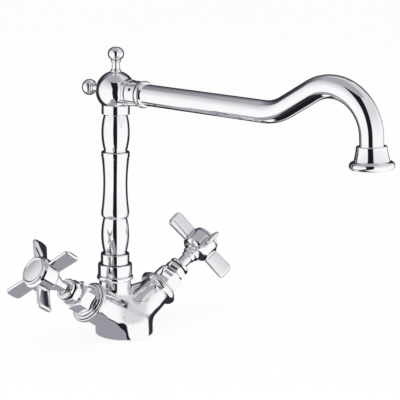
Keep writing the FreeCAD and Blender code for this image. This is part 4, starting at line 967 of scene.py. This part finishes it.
for turn in TIP_TURNS:
    new_out = PADDLE_TIP - CORNER * (1 - math.sin(math.radians(turn)))
    new_half = TIP_HALF - CORNER * (1 - math.cos(math.radians(turn)))
    new_thick = math.sqrt(1 - max(0.0, (new_out - PADDLE_TIP + TIP_NOSE) / TIP_NOSE) ** 2)
    bpy.ops.mesh.extrude_region_move(TRANSFORM_OT_translate={"value": (0.0, (new_out - out) * MM, 0.0)})
    bpy.ops.transform.resize(value=(new_thick / thick, 1.0, new_half / half),
                             center_override=(0.0, new_out * MM, PADDLE_AT * MM))
    out, half, thick = new_out, new_half, new_thick
bpy.ops.mesh.select_all(action="SELECT")
bpy.ops.mesh.normals_make_consistent(inside=False)
bpy.ops.object.mode_set(mode="OBJECT")
blades = []
for quarter in range(4):
    blade = copied(paddle, "blade")
    blade.rotation_euler = (0.0, 0.0, math.radians(90 * quarter + BETWEEN_STEPS))
    bpy.ops.object.transform_apply()
    blades.append(blade)
bpy.data.objects.remove(paddle)
pick_only(*blades)
bpy.ops.object.join()
cut_with(handle, blades[0], "UNION")
pick_only(handle)
handle.rotation_euler = (0.0, 0.0, math.radians(-BETWEEN_STEPS))
bpy.ops.object.transform_apply()
bpy.ops.object.mode_set(mode="EDIT")
merge_close(UNION_CLOSE)
bpy.ops.object.mode_set(mode="OBJECT")
bpy.ops.mesh.customdata_custom_splitnormals_clear()
smooth_under(handle, HANDLE_CREASE)
lead_shading(handle)
handle_ways = {
    side: arm_ways[side] @ Matrix.Rotation(math.radians(turn), 4, "Z") for side, turn in REST_TURNS.items()}
valve_sides = {"hot": "hot_valve", "cold": "cold_valve"}
put_pair(handle, "cross_handle", handle_ways, valve_sides, "handle", chrome)


# Index caps: stamped brass caps, plated and left bare, pressed into the hubs over the screws, each
# with a rolled rim round a shallow dish.
CAP_FLOOR = 106.7
CAP_ROUNDING = 0.15
CAP_LIMIT = 30.0
cap_plate = metal_finish(
    "cap_plate", dark=(0.83, 0.83, 0.85), light=(0.90, 0.90, 0.915), smooth=0.04, dull=0.09, scale=140.0)
cap = turned("index_cap", [
    (0.0, CAP_FLOOR), (9.4, CAP_FLOOR), (9.4, HUB_FACE), (12.0, HUB_FACE), (12.35, 110.8),
    (12.35, 111.4, 0.28), (11.6, 112.5, 0.2), (10.5, 112.45), (10.1, 112.05), (9.7, 112.0, 0.03),
    (0.0, 112.2)])
round_edges(cap, CAP_ROUNDING, segments=2, limit=CAP_LIMIT)
put_pair(cap, "index_cap", handle_ways, valve_sides, "cap", cap_plate)


# Column: a brass tube, turned with two balusters and a long waist and plated. Its stub turns in the
# neck on two rubber rings, and a steel split ring under the nut's lip keeps it down.
SPOUT_SWING = 10.0
COLUMN_TOP = 191.2
COLUMN_ROUNDING = 0.25
column_way = upright @ Matrix.Rotation(math.radians(SPOUT_SWING), 4, "Z")
column = turned("turned_column", [
    (5.0, 26.0), (8.5, 26.0), (8.5, 30.8), (6.95, 30.8), (6.95, 33.2), (8.5, 33.2), (8.5, 41.8),
    (6.95, 41.8), (6.95, 44.2), (8.5, 44.2), (8.5, 56.25), (8.0, 56.25), (8.0, 56.95), (9.9, 56.95),
    (9.9, 60.4), (11.95, 60.4), (12.45, 60.9), (12.45, 68.9), (11.95, 69.4), (10.1, 69.4),
    (10.1, 70.6, 2.0), (10.1, 101.2, 0.6), (12.15, 104.6), (12.15, 106.4, -1.6), (11.85, 153.6),
    (12.25, 155.2), (12.25, 158.5), (11.75, 159.0), (10.1, 159.0), (10.1, 160.6, 2.0), (10.1, 190.6),
    (10.1, COLUMN_TOP), (8.0, COLUMN_TOP), (8.0, 198.2), (5.0, 198.2)])
round_edges(column, COLUMN_ROUNDING)
put(column, column_way, "spout", "column", chrome)
for word in ("column_seal_lower", "column_seal_upper"):
    dress(nodes[word], rubber)
dress(nodes["split_ring"], steel)


# Head ball: a brass ball with a collar below and a boss in front, turned, drilled and plated, and
# soldered on the column. Two turned finials screw into its top and back.
HEAD_HEIGHT = 211.2
HEAD_RADIUS = 17.0
COLLAR_RADIUS = 12.05
COLLAR_FOOT = COLUMN_TOP - HEAD_HEIGHT
COLLAR_TOP = -math.sqrt(HEAD_RADIUS ** 2 - COLLAR_RADIUS ** 2)
SOCKET_RADIUS = 8.02
SOCKET_TOP = -12.5
BOSS_RADIUS = 11.1
BOSS_START = 2.0
BOSS_END = 15.6
BOSS_FLOOR = 8.5
OUTSIDE = 20.0
HEAD_CREASE = 30.0
FINIAL_SEAT = 16.366
FINIAL_RADIUS = 4.6
FINIAL_HOLE = 2.52
FINIAL_FLOOR = 9.4
FINIAL_ROUNDING = 0.12
head_way = column_way @ Matrix.Translation((0.0, 0.0, HEAD_HEIGHT * MM))
spout_turn = Matrix.Rotation(math.radians(90), 4, "X")
rear_turn = Matrix.Rotation(math.radians(-90), 4, "X")
ball_half = math.hypot(COLLAR_RADIUS, HEAD_RADIUS - COLLAR_TOP) / 2
ball_rise = HEAD_RADIUS - math.sqrt(HEAD_RADIUS ** 2 - ball_half ** 2)
ball = turned("head", [
    (0.0, SOCKET_TOP), (SOCKET_RADIUS, SOCKET_TOP), (SOCKET_RADIUS, COLLAR_FOOT), (11.55, COLLAR_FOOT),
    (COLLAR_RADIUS, COLLAR_FOOT + 0.5), (COLLAR_RADIUS, COLLAR_TOP, ball_rise), (0.0, HEAD_RADIUS)])
cut_with(ball, rod((0.0, -BOSS_START, 0.0), (0.0, -BOSS_END, 0.0), BOSS_RADIUS), "UNION")
cut_with(ball, rod((0.0, -BOSS_FLOOR, 0.0), (0.0, -OUTSIDE, 0.0), SOCKET_RADIUS))
for outward in (Vector((0.0, 0.0, 1.0)), Vector((0.0, 1.0, 0.0))):
    cut_with(ball, rod(outward * FINIAL_SEAT, outward * OUTSIDE, FINIAL_RADIUS))
    cut_with(ball, rod(outward * FINIAL_FLOOR, outward * OUTSIDE, FINIAL_HOLE))
smooth_under(ball, HEAD_CREASE)
put(ball, head_way, "spout", "head_ball", chrome)
top_knob = turned("top_knob", [
    (0.0, 9.5), (2.5, 9.5), (2.5, FINIAL_SEAT), (FINIAL_RADIUS, FINIAL_SEAT),
    (FINIAL_RADIUS, 16.966, -0.31), (3.4, 20.4), (3.4, 24.2), (3.69, 24.2, 0.6), (3.69, 26.4),
    (4.0, 26.4, 0.8), (6.95, 31.2, 1.78), (0.9, 37.1), (0.0, 37.1)])
round_edges(top_knob, FINIAL_ROUNDING, segments=2)
rear_knob = copied(top_knob, "rear_knob")
put(top_knob, head_way, "spout", "top_finial", chrome)
put(rear_knob, head_way @ rear_turn, "spout", "rear_finial", chrome)


# Spout connector: a turned and plated brass socket soldered in the head's boss; the tube sits in it on
# a rubber washer, and a dark grub screw underneath holds the tube.
GRUB_TURN = 156.0
GRUB_AT = 24.6
GRUB_BORE = 1.52
GRUB_FROM = 5.0
GRUB_TO = 15.0
CONNECTOR_ROUNDING = 0.15
connector = turned("spout_socket", [
    (5.5, 9.0), (8.0, 9.0), (8.0, BOSS_END), (10.7, BOSS_END), (11.2, 16.1), (11.2, 18.3), (10.7, 18.8),
    (10.1, 18.8), (10.1, 19.4), (10.7, 19.4), (10.7, 29.3), (10.1, 29.3), (10.1, 29.9), (10.3, 29.9, 1.1),
    (10.3, 34.6), (9.02, 34.6), (9.02, 20.0), (5.5, 20.0)])
grub_way = Matrix.Rotation(math.radians(GRUB_TURN), 4, "Z") @ Matrix.Rotation(math.radians(90), 4, "Y")
grub_line = grub_way @ Vector((0.0, 0.0, 1.0))
grub_place = Vector((0.0, 0.0, GRUB_AT))
cut_with(connector, rod(grub_place + grub_line * GRUB_FROM, grub_place + grub_line * GRUB_TO, GRUB_BORE))
round_edges(connector, CONNECTOR_ROUNDING, segments=2)
put(connector, head_way @ spout_turn, "spout", "spout_connector", chrome)
dress(nodes["spout_washer"], rubber)
dark_steel = metal_finish(
    "blackened_steel", dark=(0.10, 0.10, 0.105), light=(0.16, 0.16, 0.165), smooth=0.25, dull=0.42,
    scale=220.0)
dress(nodes["grub_screw"], dark_steel)


# Spout tube: one length of 18 mm brass tube, drawn, bent twice on a mandrel and plated. It runs level,
# climbs, turns over and drops to the nozzle.
TUBE_RADIUS = 9.0
TUBE_WALL = 1.0
TUBE_SIDES = 96
TUBE_START = 21.0
TUBE_CREASE = 35.0
RUN_END = 158.2
LOW_BEND = 39.4
LOW_STEPS = 24
HIGH_BEND = 35.75
HIGH_STEPS = 84
CLIMB = math.radians(31.65)
DROP = math.radians(86)
SLOPE = 27.65
TAIL = 9.0


def drawn_on(way):
    """Draws the open end of the tube on by this way, in millimetres."""
    bpy.ops.mesh.extrude_edges_move(TRANSFORM_OT_translate={"value": way * MM})


def bent_on(steps, turn, centre):
    """Bends the open end of the tube on about a centre, in millimetres."""
    bpy.ops.mesh.spin(steps=steps, angle=turn, center=centre * MM, axis=(1.0, 0.0, 0.0))


bpy.ops.object.select_all(action="DESELECT")
bpy.ops.mesh.primitive_circle_add(
    vertices=TUBE_SIDES, radius=TUBE_RADIUS * MM, location=(0.0, -TUBE_START * MM, 0.0),
    rotation=(math.radians(90), 0.0, 0.0))
tube = bpy.context.object
tube.name = "bent_tube"
bpy.ops.object.transform_apply()
bpy.ops.object.mode_set(mode="EDIT")
bpy.ops.mesh.select_mode(type="EDGE")
bpy.ops.mesh.select_all(action="SELECT")
drawn_on(Vector((0.0, TUBE_START - RUN_END, 0.0)))
low_centre = Vector((0.0, -RUN_END, LOW_BEND))
bent_on(LOW_STEPS, CLIMB, low_centre)
climb_way = Vector((0.0, -math.cos(CLIMB), math.sin(CLIMB)))
climb_under = Vector((0.0, -math.sin(CLIMB), -math.cos(CLIMB)))
drawn_on(climb_way * SLOPE)
climb_end = low_centre + climb_under * LOW_BEND + climb_way * SLOPE
high_centre = climb_end + climb_under * HIGH_BEND
bent_on(HIGH_STEPS, -CLIMB - DROP, high_centre)
drop_start = high_centre + Vector((0.0, -math.sin(DROP), math.cos(DROP))) * HIGH_BEND
drawn_on(Vector((0.0, -math.cos(DROP), -math.sin(DROP))) * TAIL)
bpy.ops.mesh.select_all(action="SELECT")
bpy.ops.mesh.normals_make_consistent(inside=False)
bpy.ops.object.mode_set(mode="OBJECT")
wall = tube.modifiers.new("wall", "SOLIDIFY")
wall.thickness = TUBE_WALL * MM
wall.offset = -1.0
bpy.ops.object.modifier_apply(modifier="wall")
smooth_under(tube, TUBE_CREASE)
put(tube, head_way, "spout", "spout_tube", chrome)


# Nozzle: a turned and plated brass bell soldered on the tube's end, with a rolled rim. The aerator
# inside is an acetal cage behind a steel screen, on a rubber gasket.
BELL_FOOT = 23.9
BELL_ROUNDING = 0.15
flow_way = head_way @ Matrix.Translation(drop_start * MM) @ Matrix.Rotation(math.pi / 2 + DROP, 4, "X")
bell = turned("nozzle", [
    (9.02, 6.5), (11.0, 6.5), (11.5, 7.1), (11.5, 8.4, -0.2), (13.5, 17.7), (14.5, 17.9, 2.4),
    (14.5, BELL_FOOT), (10.6, BELL_FOOT), (10.6, 11.5), (8.0, 11.5), (8.0, 9.0), (9.02, 9.0)])
round_edges(bell, BELL_ROUNDING, segments=2)
put(bell, flow_way, "spout", "nozzle_bell", chrome)
dress(nodes["aerator_gasket"], rubber)
dress(nodes["aerator_cage"], acetal)
dress(nodes["aerator_screen"], steel)
